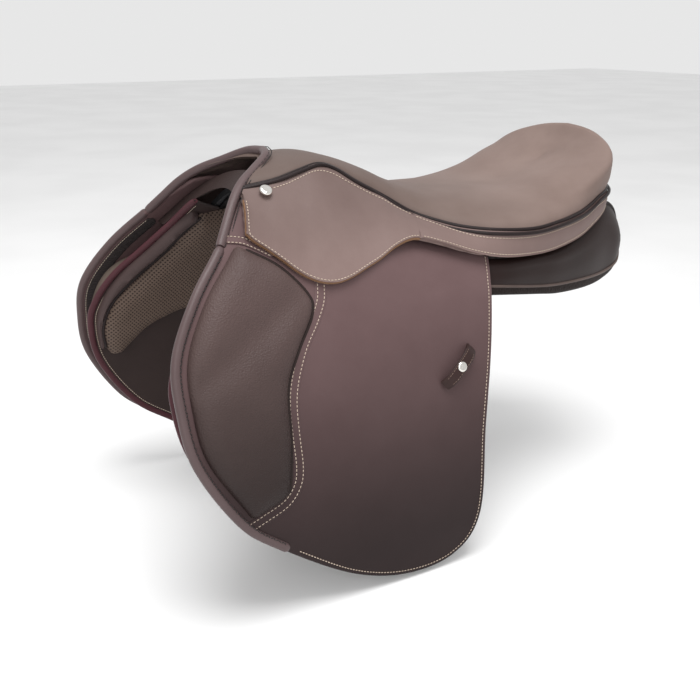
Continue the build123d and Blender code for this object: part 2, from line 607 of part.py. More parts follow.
with BuildPart() as cantle_band:
    with BuildSketch(Plane.XY):
        draw_plan(BAND_PLAN)
    extrude(amount=REACH)
    with BuildSketch(Plane.XY):
        draw_plan(BAND_PLAN, SKIRT_LEATHER)
    extrude(amount=REACH, mode=Mode.SUBTRACT)
    with BuildSketch(Plane.YZ):
        with BuildLine():
            Spline(*BAND_TOP)
            Line(BAND_TOP[-1], BAND_LOW[0])
            Spline(*BAND_LOW)
            Line(BAND_LOW[-1], BAND_TOP[0])
        make_face()
    extrude(amount=REACH, both=True, mode=Mode.INTERSECT)
write(cantle_band.part, "cantle_band")

# ---------------------------------------------------------------- sweat flaps, blocks and panels
with BuildPart() as sweat_flap:
    with BuildSketch(Plane.YZ):
        draw_outline(SWEAT_EDGE)
    extrude(amount=REACH)
    with BuildSketch(Plane.YZ):
        draw_strip(SWEAT_EDGE[:SWEAT_BOUND], BINDING_OUTSIDE, SWEAT_BINDING_WIDTH + GAP)
    extrude(amount=REACH, mode=Mode.SUBTRACT)
    keep_layer(SWEAT_DEPTH, SWEAT_LEATHER)
write_pair(sweat_flap.part, "sweat_flap")

with BuildPart() as sweat_flap_binding:
    with BuildSketch(Plane.YZ):
        draw_outline(SWEAT_EDGE)
    extrude(amount=REACH)
    with BuildSketch(Plane.YZ):
        draw_strip(SWEAT_EDGE[:SWEAT_BOUND], BINDING_OUTSIDE, SWEAT_BINDING_WIDTH)
    extrude(amount=REACH, mode=Mode.INTERSECT)
    keep_layer(SWEAT_DEPTH - 1, SWEAT_LEATHER + 2)
write_pair(sweat_flap_binding.part, "sweat_flap_binding")

with BuildPart() as shoulder_panel:
    with BuildSketch(Plane.YZ):
        draw_outline(SHOULDER_EDGE)
    extrude(amount=REACH)
    keep_layer(SHOULDER_DEPTH, SHOULDER_THICK)
write_pair(shoulder_panel.part, "shoulder_panel")

with BuildPart() as knee_block:
    with BuildSketch(Plane.YZ):
        draw_outline(BLOCK_EDGE)
    extrude(amount=REACH)
    keep_layer(BLOCK_DEPTH, BLOCK_THICK)
write_pair(knee_block.part, "knee_block")

with BuildPart() as panel:
    for y, corners in PANEL_SECTIONS.items():
        with BuildSketch(Plane.XZ.offset(-y)):
            draw_polygon(corners)
    loft(ruled=True)
write_pair(panel.part, "panel")
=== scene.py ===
"""Looks of a close-contact English jumping saddle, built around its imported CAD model.

Lengths are millimetres in the CAD frame and become metres in make(). A side outline is a list of (Y, Z)
points on the left side, and each paired piece is mirrored to the right side.
"""

import json
import math

import bpy
import numpy as np
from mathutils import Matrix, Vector
from mathutils.geometry import delaunay_2d_cdt

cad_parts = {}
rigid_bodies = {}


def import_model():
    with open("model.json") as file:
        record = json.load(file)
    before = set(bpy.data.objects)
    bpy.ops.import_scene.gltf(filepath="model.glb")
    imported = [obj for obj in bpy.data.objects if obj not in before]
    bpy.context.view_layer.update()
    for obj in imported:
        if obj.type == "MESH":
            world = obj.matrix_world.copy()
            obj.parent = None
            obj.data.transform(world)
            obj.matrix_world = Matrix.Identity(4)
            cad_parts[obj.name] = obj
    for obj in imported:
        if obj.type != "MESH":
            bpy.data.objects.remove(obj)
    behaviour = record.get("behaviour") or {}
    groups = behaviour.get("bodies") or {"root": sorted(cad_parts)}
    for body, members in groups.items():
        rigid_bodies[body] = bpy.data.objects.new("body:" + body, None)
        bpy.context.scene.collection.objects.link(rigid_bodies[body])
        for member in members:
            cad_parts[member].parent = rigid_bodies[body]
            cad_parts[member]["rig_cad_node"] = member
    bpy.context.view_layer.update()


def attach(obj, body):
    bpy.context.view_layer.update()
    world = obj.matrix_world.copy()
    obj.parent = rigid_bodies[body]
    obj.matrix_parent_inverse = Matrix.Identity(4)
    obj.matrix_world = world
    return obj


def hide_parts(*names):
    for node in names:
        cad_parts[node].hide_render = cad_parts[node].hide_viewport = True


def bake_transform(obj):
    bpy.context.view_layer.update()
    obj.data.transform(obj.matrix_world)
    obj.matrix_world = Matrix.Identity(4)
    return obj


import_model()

MM = 0.001
SIDES = {"left": 1, "right": -1}

# ---------------------------------------------------------------- the flap surface and what lies on it
HALF_WIDTH, CURVE_CENTRE_Z, CURVE_RISE = 182.0, -205.0, 352.0
ELLIPSE_END_Y = -98.0        # behind this the surface sinks towards the waist, by these (X, Z) sections
SURFACE_HEIGHTS = (140, 126, 112, 98, 84, 70, 57, 43, 30)
WAIST_SECTIONS = {-62: [(55, 106), (84, 92), (104, 74), (121, 54), (135, 30)],
                  -40: [(68, 89), (92, 80), (108, 68), (122, 51), (135, 30)],
                  -10: [(90, 78), (105, 70), (115, 60), (125, 47), (135, 30)],
                  30: [(98, 75), (109, 68), (118, 58), (126, 46), (135, 30)]}
FLAP_LEATHER, SKIRT_LEATHER, SWEAT_LEATHER = 4.5, 4.0, 3.0
SKIRT_LIFT = 10.0            # outer skirt surface above the outer flap surface
SWEAT_DEPTH = 26.0           # outer face of the sweat flap, inside the flap surface

FLAP_EDGE = [(-249, 94), (-284, 58), (-310, 16), (-314, -25), (-306, -74), (-271, -133), (-232, -166),
             (-163, -211), (-103, -230), (-49, -225), (-18, -190), (-9, -98), (10, -9), (26, 56)]
FLAP_HEAD = [(22, 61), (-10, 70), (-40, 84), (-60, 100), (-100, 120), (-196, 130), (-222, 118)]
FLAP_BOUND = 6               # the rolled binding covers the edge as far as this many points
FLAP_WINDOW = (-200.0, -88.0, 72.0, 108.0)
WINDOW_RISE = 8.0            # how much higher the window's front end is
PAD_FRONT = [(-238, 88), (-273, 54), (-298, 14), (-302, -25), (-295, -70), (-262, -126)]
PAD_REAR = [(-226, -112), (-220, -70), (-216, -24), (-200, 6), (-181, 32), (-180, 47), (-200, 71),
            (-226, 87)]
PAD_WELT = [(-164, 55), (-168, 42), (-178, 27), (-191, 11), (-200, -4), (-208, -22), (-212, -40),
            (-213, -65),
            (-213, -92), (-217, -108), (-229, -121), (-252, -130), (-266, -135)]
PAD_TOP_STRIP = [(-240, 97), (-232, 96), (-224, 94), (-214, 89), (-202, 82)]
SWEAT_EDGE = [(-217, 110), (-232, 84), (-258, 55), (-285, 29), (-303, 1), (-310, -28), (-300, -78),
              (-262, -136),
              (-215, -172), (-150, -197), (-80, -202), (-35, -185), (-22, -120), (-14, -50), (-4, 10), (2,
                                                                                                        56)]
SWEAT_BOUND = 8
ROLL_SEAM = [(-204, 90), (-218, 73), (-234, 51), (-259, 27), (-280, 5), (-291, -14), (-296, -36),
             (-293, -58)]
SHOULDER_REAR = [(-276, -68), (-249, -42), (-230, -32), (-205, -24), (-160, -20), (-110, -24), (-78, -8),
                 (-66, 30), (-66, 68)]
BLOCK_EDGE = [(-226, 88), (-254, 62), (-280, 28), (-294, -6), (-298, -42), (-286, -80), (-262, -100),
              (-243, -92), (-250, -50), (-250, -10), (-240, 30), (-214, 72)]

# ---------------------------------------------------------------- lines in space, all (X, Y, Z)
ARCH_EDGE = [(0, -163, 157), (20, -170, 155.5), (36, -189, 147), (51, -208, 138), (66, -223, 126),
             (82, -237, 109),
             (96, -249, 94)]
# skirt and cantle band: upper edge, then lower edge, from the pommel to the middle of the cantle
SKIRT_LINES = [((66, -212, 130), (98, -223, 101)), ((60, -206, 134), (103, -217, 95)),
               ((60, -196, 136), (108, -207, 88)), ((61, -180, 138), (114, -196, 79)),
               ((59, -165, 140.5), (120, -186, 70)), ((56, -150, 144.5), (124, -176, 63)),
               ((54, -138, 148), (128, -164, 58)), ((52.5, -127, 149), (129, -150, 56)),
               ((53, -114, 145), (127.5, -134, 58.5)), ((56, -99, 136), (124, -117, 64)),
               ((60, -82, 126), (120, -99, 70)), ((65, -66, 117), (115, -81, 77.5)),
               ((70, -53, 107.5), (112, -64, 82)), ((76, -40, 100), (111.5, -50, 81.5)),
               ((90, -20, 92), (117, -28, 75)), ((110, 5, 85), (125, 2, 64)),
               ((126, 35, 82.5), (130.5, 32, 57)), ((131.5, 74, 81), (131, 65, 54.5)),
               ((128, 111, 84), (127, 102, 55)), ((114, 154, 88), (116.5, 146, 61)),
               ((100, 186, 96.5), (103, 180, 70)), ((90, 206, 100.5), (91, 204, 78)),
               ((75, 221, 104), (76, 220, 83)), ((50, 233, 106.5), (50, 233, 86.5)),
               ((25, 239, 108), (25, 239, 88)), ((0, 241, 108.5), (0, 241, 88.5))]
SKIRT_SPANS = 6              # steps between one line and the next
TOP_STITCH_INSET = 8.0       # from the upper edge of the skirt and band to their upper stitches
BAND_START = 13              # the line where the lifting skirt ends and the cantle band begins
# seat: welt, swell above it, rim, half way in, and the mid-plane, from the pommel to the middle of the
# cantle
SEAT_LINES = [
    ((0, -166, 152), (0, -162, 154), (0, -158, 155), (0, -156, 155), (0, -155, 155)),
    ((24, -177, 149), (20, -169, 153.5), (14, -162, 155), (7, -157, 155.5), (0, -152, 155.5)),
    ((42, -200, 141), (36, -185, 149.5), (27, -174, 152.5), (14, -160, 155), (0, -149, 155.5)),
    ((56, -211, 132), (50, -194, 142.5), (36, -178, 149.5), (19, -162, 154), (0, -145, 155.5)),
    ((58, -177, 137), (53, -170, 144), (38, -160, 150.5), (20, -148, 154.5), (0, -138, 155.5)),
    ((54, -150, 143), (49, -147, 148.5), (36, -141, 152), (19, -136, 154.7), (0, -130, 155.3)),
    ((50, -127, 147), (45, -126, 150.5), (32, -124, 153), (17, -121, 154.5), (0, -118, 154.5)),
    ((50, -108, 141), (45.5, -107, 146.5), (33, -106, 149.5), (17, -104, 151.3), (0, -102, 151)),
    ((56, -88, 128), (51, -87, 136), (37, -86, 142), (19, -85, 145.3), (0, -84, 145.5)),
    ((64, -60, 112), (58, -60, 122), (42, -60, 131), (22, -60, 135), (0, -60, 136)),
    ((76, -38, 98), (69, -38, 108), (50, -38, 118.5), (26, -38, 124), (0, -38, 125.5)),
    ((92, -17, 90), (84, -17, 99), (60, -17, 110), (32, -17, 116), (0, -17, 117.8)),
    ((108, 5, 84.5), (98, 5, 94), (68, 5, 105), (36, 5, 110.8), (0, 5, 112.3)),
    ((124, 35, 81.5), (113, 35, 92), (80, 35, 102.5), (44, 35, 107.9), (0, 35, 108.8)),
    ((130, 74, 80), (120, 74, 91.5), (88, 74, 101), (50, 74, 107.3), (0, 72, 107.6)),
    ((126, 111, 83), (119, 111, 94), (95, 110, 103.5), (60, 109, 108.2), (0, 102, 106.8)),
    ((118, 138, 85.5), (113, 139, 98), (99, 138, 108.5), (65, 134, 114.2), (0, 124, 108.5)),
    ((112, 154, 87.5), (109, 157, 102), (101, 158, 114), (67, 153, 121.2), (0, 138, 111.5)),
    ((104, 173, 92), (105, 175, 108), (100, 181, 124.5), (69, 172, 128.4), (0, 150, 114.8)),
    ((98, 186, 96), (101, 190, 113), (97, 198, 132), (69, 187, 134.2), (0, 158, 117.3)),
    ((88, 206, 100), (93, 208, 118), (90, 209, 141), (63, 200, 141.8), (0, 166, 120.0)),
    ((74, 220, 103.5), (79, 220, 122), (76, 217, 149), (50, 209, 147.2), (0, 174, 122.2)),
    ((50, 232, 106.5), (53, 231, 126), (50, 224.5, 157.5), (29, 213, 147.5), (0, 181, 124.0)),
    ((25, 238, 107.5), (27, 236, 128), (26, 227.5, 162), (15, 214.5, 147.3), (0, 185, 125.3)),
    ((0, 240, 108), (0, 237.5, 129), (0, 228.5, 164), (0, 215, 147.3), (0, 187, 126.0))]
# rear panel at each Y: inner top, outer top, side, lower piping, outer bottom, inner bottom, channel
# wall (X, Z)
PANEL_RINGS = {-62: [(34, 84), (64, 72), (78, 50), (84, 36), (80, 25), (56, 46), (42, 64)],
               -10: [(33, 72), (82, 62), (98, 40), (101, 27), (96, 15), (46, 40), (35, 56)],
               30: [(32, 69), (114, 53), (125, 38), (124.5, 26), (119, 16.5), (44, 33), (33, 52)],
               93: [(32, 68), (114, 52), (122, 36), (118, 16), (111, 7), (42, 25), (33, 48)],
               130: [(32, 71), (110, 54), (117, 34), (112, 12), (104, 0.5), (42, 17), (33, 46)],
               178: [(33, 80), (96, 66), (106, 40), (102, 10), (94, -2.5), (42, 7), (34, 46)],
               215: [(36, 90), (78, 84), (93, 50), (90, 10), (82, -1), (43, 6), (36, 46)],
               240: [(42, 82), (68, 76), (84, 48), (82, 16), (74, 8), (46, 12), (40, 46)],
               254: [(50, 62), (62, 58), (72, 42), (70, 27), (64, 21), (52, 24), (48, 42)],
               257.5: [(58, 45), (60, 44), (62, 42), (61, 40), (60, 39), (58, 40), (57, 42)]}


# ---------------------------------------------------------------- curves
def evenly(points, step):
    """A line's points again, about a step apart along its length."""
    run = np.concatenate([[0], np.cumsum(np.linalg.norm(np.diff(points, axis=0), axis=1))])
    at = np.linspace(0, run[-1], max(2, int(math.ceil(run[-1] / step)) + 1))
    return np.stack([np.interp(at, run, column) for column in np.asarray(points).T], axis=-1)


def through(points, spans=8):
    """A smooth line through points of any shape, in so many steps from each to the next."""
    p = np.asarray(points, float)
    p = np.concatenate([2 * p[:1] - p[1:2], p, 2 * p[-1:] - p[-2:-1]])
    t = (np.arange(spans) / spans).reshape([-1] + [1] * (p.ndim - 1))
    out = []
    for a, b, c, d in zip(p, p[1:], p[2:], p[3:]):
        out.append(0.5 * (2 * b + (c - a) * t + (2 * a - 5 * b + 4 * c - d) * t**2
                          + (3 * b - a - 3 * c + d) * t**3))
    return np.concatenate(out + [p[-2:-1]])


def smooth(points, step=3.0):
    """A smooth line through the points, its own points about a step apart."""
    return evenly(through(points, 16), step)


def directions(path):
    """Unit vectors along a line at each of its points."""
    along = np.gradient(path, axis=0)
    return along / np.linalg.norm(along, axis=1)[:, None]


def beside(path, distance):
    """A (Y, Z) line moved to the left of its direction."""
    along = directions(path)
    return path + distance * np.stack([-along[:, 1], along[:, 0]], axis=-1)


# ---------------------------------------------------------------- the flap surface
def station_curve(section, lift):
    """(Z, X) of one cross-section of a layer, from the bottom up."""
    line = beside(through(section), lift)[::-1]
    top = line[-1] + (line[-1] - line[-4]) * 6
    line = np.vstack([line, top])
    return line[:, 1], line[:, 0]


def layer_x(y, z, lift):
    """Half width at each (Y, Z) of the layer that lies some way outside the flap surface."""
    def ellipse(height):
        rise = np.maximum(height - CURVE_CENTRE_Z, 0) / (CURVE_RISE + lift)
        return (HALF_WIDTH + lift) * np.sqrt(np.clip(1 - rise**2, 0, 1))

    x = ellipse(z)
    stations, curves = [ELLIPSE_END_Y, *WAIST_SECTIONS], [None]
    curves += [station_curve(section, lift) for section in WAIST_SECTIONS.values()]
    widths = [x] + [np.where(z > SURFACE_HEIGHTS[-1], np.interp(z, *curve), x) for curve in curves[1:]]
    for i in range(len(stations) - 1):
        share = (y - stations[i]) / (stations[i + 1] - stations[i])
        here = (share > 0) & ((share <= 1) | (i == len(stations) - 2))
        share = np.clip(share, 0, 1)
        x = np.where(here, widths[i] * (1 - share) + widths[i + 1] * share, x)
    return x


def place(yz, lift=0.0, height=0.0):
    """Points on a left layer over (Y, Z) points, raised square to it, and the outward directions there."""
    y, z = np.asarray(yz, float).T
    nearby = 1.5
    slope_y = (layer_x(y + nearby, z, lift) - layer_x(y - nearby, z, lift)) / (2 * nearby)
    slope_z = (layer_x(y, z + nearby, lift) - layer_x(y, z - nearby, lift)) / (2 * nearby)
    normal = np.stack([np.ones_like(y), -slope_y, -slope_z], axis=-1)
    normal /= np.linalg.norm(normal, axis=1)[:, None]
    points = np.stack([layer_x(y, z, lift), y, z], axis=-1)
    return points + normal * np.reshape(height, (-1, 1)), normal


# ---------------------------------------------------------------- meshes
def make(name, vertices, faces, materials, side=1, choice=None, sharp=55):
    """A mesh object from millimetres, mirrored for the right side. choice gives each face's material."""
    vertices = np.array(vertices, float) * MM
    if side < 0:
        vertices[:, 0] *= -1
        faces = [tuple(reversed(face)) for face in faces]
    mesh = bpy.data.meshes.new(name)
    mesh.from_pydata(vertices.tolist(), [], [tuple(int(i) for i in face) for face in faces])
    for material in materials:
        mesh.materials.append(material)
    if choice is not None:
        mesh.polygons.foreach_set("material_index", np.asarray(choice, np.int32))
    mesh.polygons.foreach_set("use_smooth", np.ones(len(mesh.polygons), bool))
    mesh.set_sharp_from_angle(angle=math.radians(sharp))
    mesh.update()
    piece = bpy.data.objects.new(name, mesh)
    bpy.context.scene.collection.objects.link(piece)
    return piece


def edge_distance(points, loops):
    """Each point's distance from the nearest of the closed loops."""
    nearest = np.full(len(points), np.inf)
    for loop in loops:
        start, along = loop, np.roll(loop, -1, axis=0) - loop
        offset = points[:, None] - start[None]
        share = np.clip((offset * along).sum(-1) / np.maximum((along**2).sum(-1), 1e-12), 0, 1)
        gap = np.linalg.norm(offset - share[..., None] * along, axis=-1)
        nearest = np.minimum(nearest, gap.min(axis=1))
    return nearest


def inside(points, loops):
    """Whether each point is inside the first loop and outside the others."""
    crossings = np.zeros(len(points), int)
    for loop in loops:
        (y0, z0), (y1, z1) = loop.T, np.roll(loop, -1, axis=0).T
        y, z = points[:, :1], points[:, 1:]
        spans = (z0 > z) != (z1 > z)
        with np.errstate(divide="ignore", invalid="ignore"):
            cut = y0 + (z - z0) / (z1 - z0) * (y1 - y0)
        crossings += (spans & (y < cut)).sum(axis=1)
    return crossings % 2 == 1


def fill(loops, step, rings):
    """Points and triangles that fill the first loop outside the others, and the points' edge distance."""
    candidates = []
    for loop in loops:
        along = np.roll(loop, -1, axis=0) - np.roll(loop, 1, axis=0)
        along /= np.linalg.norm(along, axis=1)[:, None]
        square = np.stack([-along[:, 1], along[:, 0]], axis=-1)
        for distance in rings:
            for way in (1, -1):
                ring = loop + square * distance * way
                candidates.append(ring[edge_distance(ring, loops) > 0.93 * distance])
    low, high = loops[0].min(axis=0), loops[0].max(axis=0)
    rows = np.arange(low[1], high[1], step * math.sqrt(0.75))
    grid = [(y + (i % 2) * step / 2, z) for i,
            z in enumerate(rows) for y in np.arange(low[0], high[0], step)]
    grid = np.array(grid)
    candidates.append(grid[edge_distance(grid, loops) > rings[-1] + 0.6 * step])
    inner = np.vstack(candidates)
    inner = inner[inside(inner, loops)]
    edges, count = [], 0
    for loop in loops:
        edges += [(count + i, count + (i + 1) % len(loop)) for i in range(len(loop))]
        count += len(loop)
    every = np.vstack([*loops, inner])
    points, _, faces, *_ = delaunay_2d_cdt([Vector(p) for p in every], edges, [], 0, 1e-5)
    points = np.array([tuple(p) for p in points])
    faces = np.array([tuple(f) for f in faces])
    faces = faces[inside(points[faces].mean(axis=1), loops)]
    return points, faces, edge_distance(points, loops)


def closed(*lines, step=3.0):
    """One closed loop from lines that meet end to end."""
    loop = evenly(np.vstack([*lines, lines[0][:1]]), step)
    return loop[:-1]


def slab(name, loops, lift, upper, lower, materials, side=1, step=5.0, rings=(0.7, 1.6, 3.0)):
    """A closed piece over a side outline. upper and lower give its faces' heights."""
    points, triangles, distance = fill(loops, step, rings)
    on_edge = distance < 1e-3
    top, _ = place(points, lift, upper(distance, points))
    bottom, _ = place(points, lift, lower(distance, points))
    below = np.where(on_edge, np.arange(len(points)), len(points) + np.cumsum(~on_edge) - 1)
    faces = np.vstack([triangles, below[triangles][:, ::-1]])
    return make(name, np.vstack([top, bottom[~on_edge]]), faces.tolist(), materials, side)


def round_edge(distance, run):
    """From 0 at an edge to 1 at some run inside it, as a quarter circle."""
    return np.sqrt(1 - (1 - np.clip(distance / run, 0, 1)) ** 2)


def flat_face(height, middle, run):
    """The height of a flat face whose edge is rounded to the piece's middle."""
    return lambda distance, points: middle + (height - middle) * round_edge(distance, run)


def sweep(name, path, normals, section, materials, side=1, ends=0.6):
    """A solid along a line. The section's points are (across, up), and its ends are drawn in."""
    along = directions(path)
    across = np.cross(normals, along)
    across /= np.linalg.norm(across, axis=1)[:, None]
    up = np.cross(along, across)
    count, size = len(path), len(section)
    middle = section.mean(axis=0)
    scale = np.ones(count)
    scale[[0, -1]] = ends
    vertices = []
    for i in range(count):
        shape = middle + (section - middle) * scale[i]
        vertices.append(path[i] + shape[:, :1] * across[i] + shape[:, 1:] * up[i])
    faces = [(i * size + j, i * size + (j + 1) % size, (i + 1) * size + (j + 1) % size, (i + 1) * size + j)
             for i in range(count - 1) for j in range(size)]
    faces += [tuple(range(size))[::-1], tuple((count - 1) * size + j for j in range(size))]
    return make(name, np.vstack(vertices), faces, materials, side)


def oval(width, height, across=0.0, up=0.0, sides=14, power=1.0):
    """A section: an ellipse, or squarer with a power under 1."""
    turn = np.arange(sides) * 2 * math.pi / sides
    c, s = np.cos(turn), np.sin(turn)
    return np.stack([across + width / 2 * np.sign(c) * abs(c) ** power,
                     up + height / 2 * np.sign(s) * abs(s) ** power], axis=-1)


def tube(name, path, radius, material, side=1):
    """A round cord along a line."""
    normals = np.zeros_like(path) + (0.31, 0.17, 0.93)
    return sweep(name, path, normals, oval(2 * radius, 2 * radius, sides=10), [material], side)


def stitches(name, path, normals, material, side=1, pitch=3.4, length=2.2, width=0.9, slant=0.0):
    """A row of stitches along a line. A slant, in degrees, turns them one way and the other in turn."""
    run = np.concatenate([[0], np.cumsum(np.linalg.norm(np.diff(path, axis=0), axis=1))])
    at = np.arange(pitch / 2, run[-1], pitch)
    centre = np.stack([np.interp(at, run, column) for column in path.T], axis=-1)
    along = np.stack([np.interp(at, run, column) for column in directions(path).T], axis=-1)
    up = np.stack([np.interp(at, run, column) for column in normals.T], axis=-1)
    across = np.cross(up, along)
    turn = np.radians(slant) * np.where(np.arange(len(at)) % 2, 1, -1)[:, None]
    cos, sin = np.cos(turn), np.sin(turn)
    along, across = (along * cos + across * sin, across * cos - along * sin)
    sides, rings = 6, [(-0.5, 0.35), (-0.36, 0.95), (0.0, 1.0), (0.36, 0.95), (0.5, 0.35)]
    vertices, faces = [], []
    for i in range(len(at)):
        first = len(vertices)
        for share, radius in rings:
            for k in range(sides):
                turn_k = 2 * math.pi * k / sides
                offset = across[i] * math.cos(turn_k) + up[i] * math.sin(turn_k) * 0.8
                vertices.append(centre[i] + along[i] * share * length + offset * radius * width / 2)
        for ring in range(len(rings) - 1):
            a, b = first + ring * sides, first + (ring + 1) * sides
            faces += [(a + k, a + (k + 1) % sides, b + (k + 1) % sides, b + k) for k in range(sides)]
        faces += [tuple(first + k for k in range(sides))[::-1]]
        faces += [tuple(first + (len(rings) - 1) * sides + k for k in range(sides))]
    return make(name, vertices, faces, [material], side)


def grid_faces(rows, columns):
    """The faces of a grid of vertices."""
    return [(r * columns + c, r * columns + c + 1, (r + 1) * columns + c + 1, (r + 1) * columns + c)
            for r in range(rows - 1) for c in range(columns - 1)]


def grid_normals(grid):
    """Unit vectors square to a grid's surface, on the side its faces turn to."""
    normal = np.cross(np.gradient(grid, axis=1), np.gradient(grid, axis=0))
    return normal / np.maximum(np.linalg.norm(normal, axis=-1), 1e-9)[..., None]


def shell(name, grid, thickness, materials, side=1, bevel=0.9):
    """A sheet of leather from a grid of points on its outer face, with its edges rounded."""
    rows, columns, _ = grid.shape
    normals = -grid_normals(grid)
    lower = grid + normals * thickness
    count = rows * columns
    faces = [face[::-1] for face in grid_faces(rows, columns)]
    faces += [tuple(i + count for i in face[::-1]) for face in faces]
    rim = [r * columns for r in range(rows)] + [(rows - 1) * columns + c for c in range(1, columns)]
    rim += [r * columns + columns - 1 for r in range(rows - 2, -1, -1)] + list(range(columns - 2, 0, -1))
    faces += [(a, b, b + count, a + count) for a, b in zip(rim, rim[1:] + rim[:1])]
    piece = make(name, np.vstack([grid.reshape(-1, 3), lower.reshape(-1, 3)]), faces, materials, side)
    rounding = piece.modifiers.new("rounding", "BEVEL")
    rounding.width, rounding.segments, rounding.limit_method = bevel * MM, 2, "ANGLE"
    rounding.angle_limit = math.radians(60)
    settle(piece)
    return piece


def settle(piece):
    """Apply the piece's modifiers to its mesh."""
    graph = bpy.context.evaluated_depsgraph_get()
    mesh = bpy.data.meshes.new_from_object(piece.evaluated_get(graph))
    piece.modifiers.clear()
    piece.data = mesh


# ---------------------------------------------------------------- materials
def new_material(name, roughness, metallic=0.0):
    """A principled material with its nodes and its object-space coordinates."""
    material = bpy.data.materials.new(name)
    material.use_nodes = True
    nodes, links = material.node_tree.nodes, material.node_tree.links
    surface = nodes["Principled BSDF"]
    surface.inputs["Roughness"].default_value = roughness
    surface.inputs["Metallic"].default_value = metallic
    place_in = nodes.new("ShaderNodeTexCoord").outputs["Object"]
    return material, nodes, links, surface, place_in


def texture(nodes, links, kind, place_in, scale, **settings):
    """A procedural texture node fed by the coordinates."""
    node = nodes.new(kind)
    links.new(place_in, node.inputs["Vector"])
    node.inputs["Scale"].default_value = scale
    for key, value in settings.items():
        if key in node.inputs:
            node.inputs[key].default_value = value
        else:
            setattr(node, key, value)
    return node


def ramp(nodes, links, value, low, high, at=(0.35, 0.65)):
    """Blends two colours by a value."""
    node = nodes.new("ShaderNodeValToRGB")
    node.color_ramp.elements[0].position, node.color_ramp.elements[1].position = at
    node.color_ramp.elements[0].color = (*low, 1)
    node.color_ramp.elements[1].color = (*high, 1)
    links.new(value, node.inputs["Fac"])
    return node.outputs["Color"]


def bump(nodes, links, surface, height, strength, distance, before=None):
    """Adds a bump to the surface, on top of an earlier one."""
    node = nodes.new("ShaderNodeBump")
    node.inputs["Strength"].default_value = strength
    node.inputs["Distance"].default_value = distance
    links.new(height, node.inputs["Height"])
    if before is not None:
        links.new(before, node.inputs["Normal"])
    links.new(node.outputs["Normal"], surface.inputs["Normal"])
    return node.outputs["Normal"]


def paint_light_and_shade(nodes, links, place_in, colour, axis, low, high, low_tone, high_tone):
    """Paints light and shade into a colour: multiplies it by a brightness that changes along an axis."""
    parts = nodes.new("ShaderNodeSeparateXYZ")
    links.new(place_in, parts.inputs[0])
    change = nodes.new("ShaderNodeMapRange")
    change.interpolation_type = "SMOOTHSTEP"
    for key, value in (("From Min", low), ("From Max", high), ("To Min", low_tone), ("To Max", high_tone)):
        change.inputs[key].default_value = value
    links.new(parts.outputs[axis], change.inputs["Value"])
    scaled = nodes.new("ShaderNodeVectorMath")
    scaled.operation = "SCALE"
    links.new(colour, scaled.inputs[0])
    links.new(change.outputs["Result"], scaled.inputs["Scale"])
    return scaled.outputs["Vector"]


def leather(name, dark, light, roughness=0.48, grain=900.0, depth=0.00018, strength=0.5, painted_shading=None,
            shine=0.14):
    """Leather: slow colour changes, pores as small cells, and fine wrinkles.

    An optional (axis, one place on it, another, brightness at the one, brightness at the other) paints light
    and shade into the colour, brighter or darker along that axis.
    """
    material, nodes, links, surface, place_in = new_material(name, roughness)
    slow = texture(nodes, links, "ShaderNodeTexNoise", place_in, 14.0, Detail=5.0, Roughness=0.6)
    colour = ramp(nodes, links, slow.outputs["Fac"], dark, light, (0.2, 0.8))
    # painted light and shade: the colour is made brighter or darker along one axis
    if painted_shading is not None:
        colour = paint_light_and_shade(nodes, links, place_in, colour, *painted_shading)
    links.new(colour, surface.inputs["Base Color"])
    cells = texture(nodes, links, "ShaderNodeTexVoronoi", place_in, grain, feature="F1")
    wrinkles = texture(nodes, links, "ShaderNodeTexNoise", place_in, grain * 0.8, Detail=4.0, Roughness=0.65)
    first = bump(nodes, links, surface, cells.outputs["Distance"], strength, depth)
    bump(nodes, links, surface, wrinkles.outputs["Fac"], strength * 0.7, depth * 1.4, first)
    surface.inputs["Specular IOR Level"].default_value = shine
    return material


def perforated_leather(name, dark, light, hole, pitch):
    """Leather with a diamond pattern of small holes, laid out over the side of the saddle."""
    material = leather(name, dark, light, 0.55)
    nodes, links = material.node_tree.nodes, material.node_tree.links
    surface = nodes["Principled BSDF"]
    place_in = next(n for n in nodes if n.type == "TEX_COORD").outputs["Object"]
    flat = nodes.new("ShaderNodeMapping")
    flat.inputs["Rotation"].default_value = (math.radians(45), 0, 0)
    flat.inputs["Scale"].default_value = (0.0, 1.0, 1.0)
    links.new(place_in, flat.inputs["Vector"])
    cells = texture(nodes, links, "ShaderNodeTexVoronoi", flat.outputs["Vector"], 1 / pitch, Randomness=0.0)
    colour = surface.inputs["Base Color"].links[0].from_socket
    mixed = nodes.new("ShaderNodeMix")
    mixed.data_type = "RGBA"
    edge = nodes.new("ShaderNodeMapRange")
    edge.inputs["From Min"].default_value, edge.inputs["From Max"].default_value = 0.24, 0.30
    links.new(cells.outputs["Distance"], edge.inputs["Value"])
    links.new(edge.outputs["Result"], mixed.inputs["Factor"])
    mixed.inputs[6].default_value = (*hole, 1)
    links.new(colour, mixed.inputs[7])
    links.new(mixed.outputs[2], surface.inputs["Base Color"])
    bump(nodes, links, surface, edge.outputs["Result"], 0.8, 0.0006)
    return material


def thread(name, dark, light):
    """Waxed thread with a twist."""
    material, nodes, links, surface, place_in = new_material(name, 0.7)
    twist = texture(nodes, links, "ShaderNodeTexWave", place_in, 900.0, Distortion=2.0)
    links.new(ramp(nodes, links, twist.outputs["Fac"], dark, light, (0.1, 0.9)),
              surface.inputs["Base Color"])
    bump(nodes, links, surface, twist.outputs["Fac"], 0.5, 0.0001)
    return material


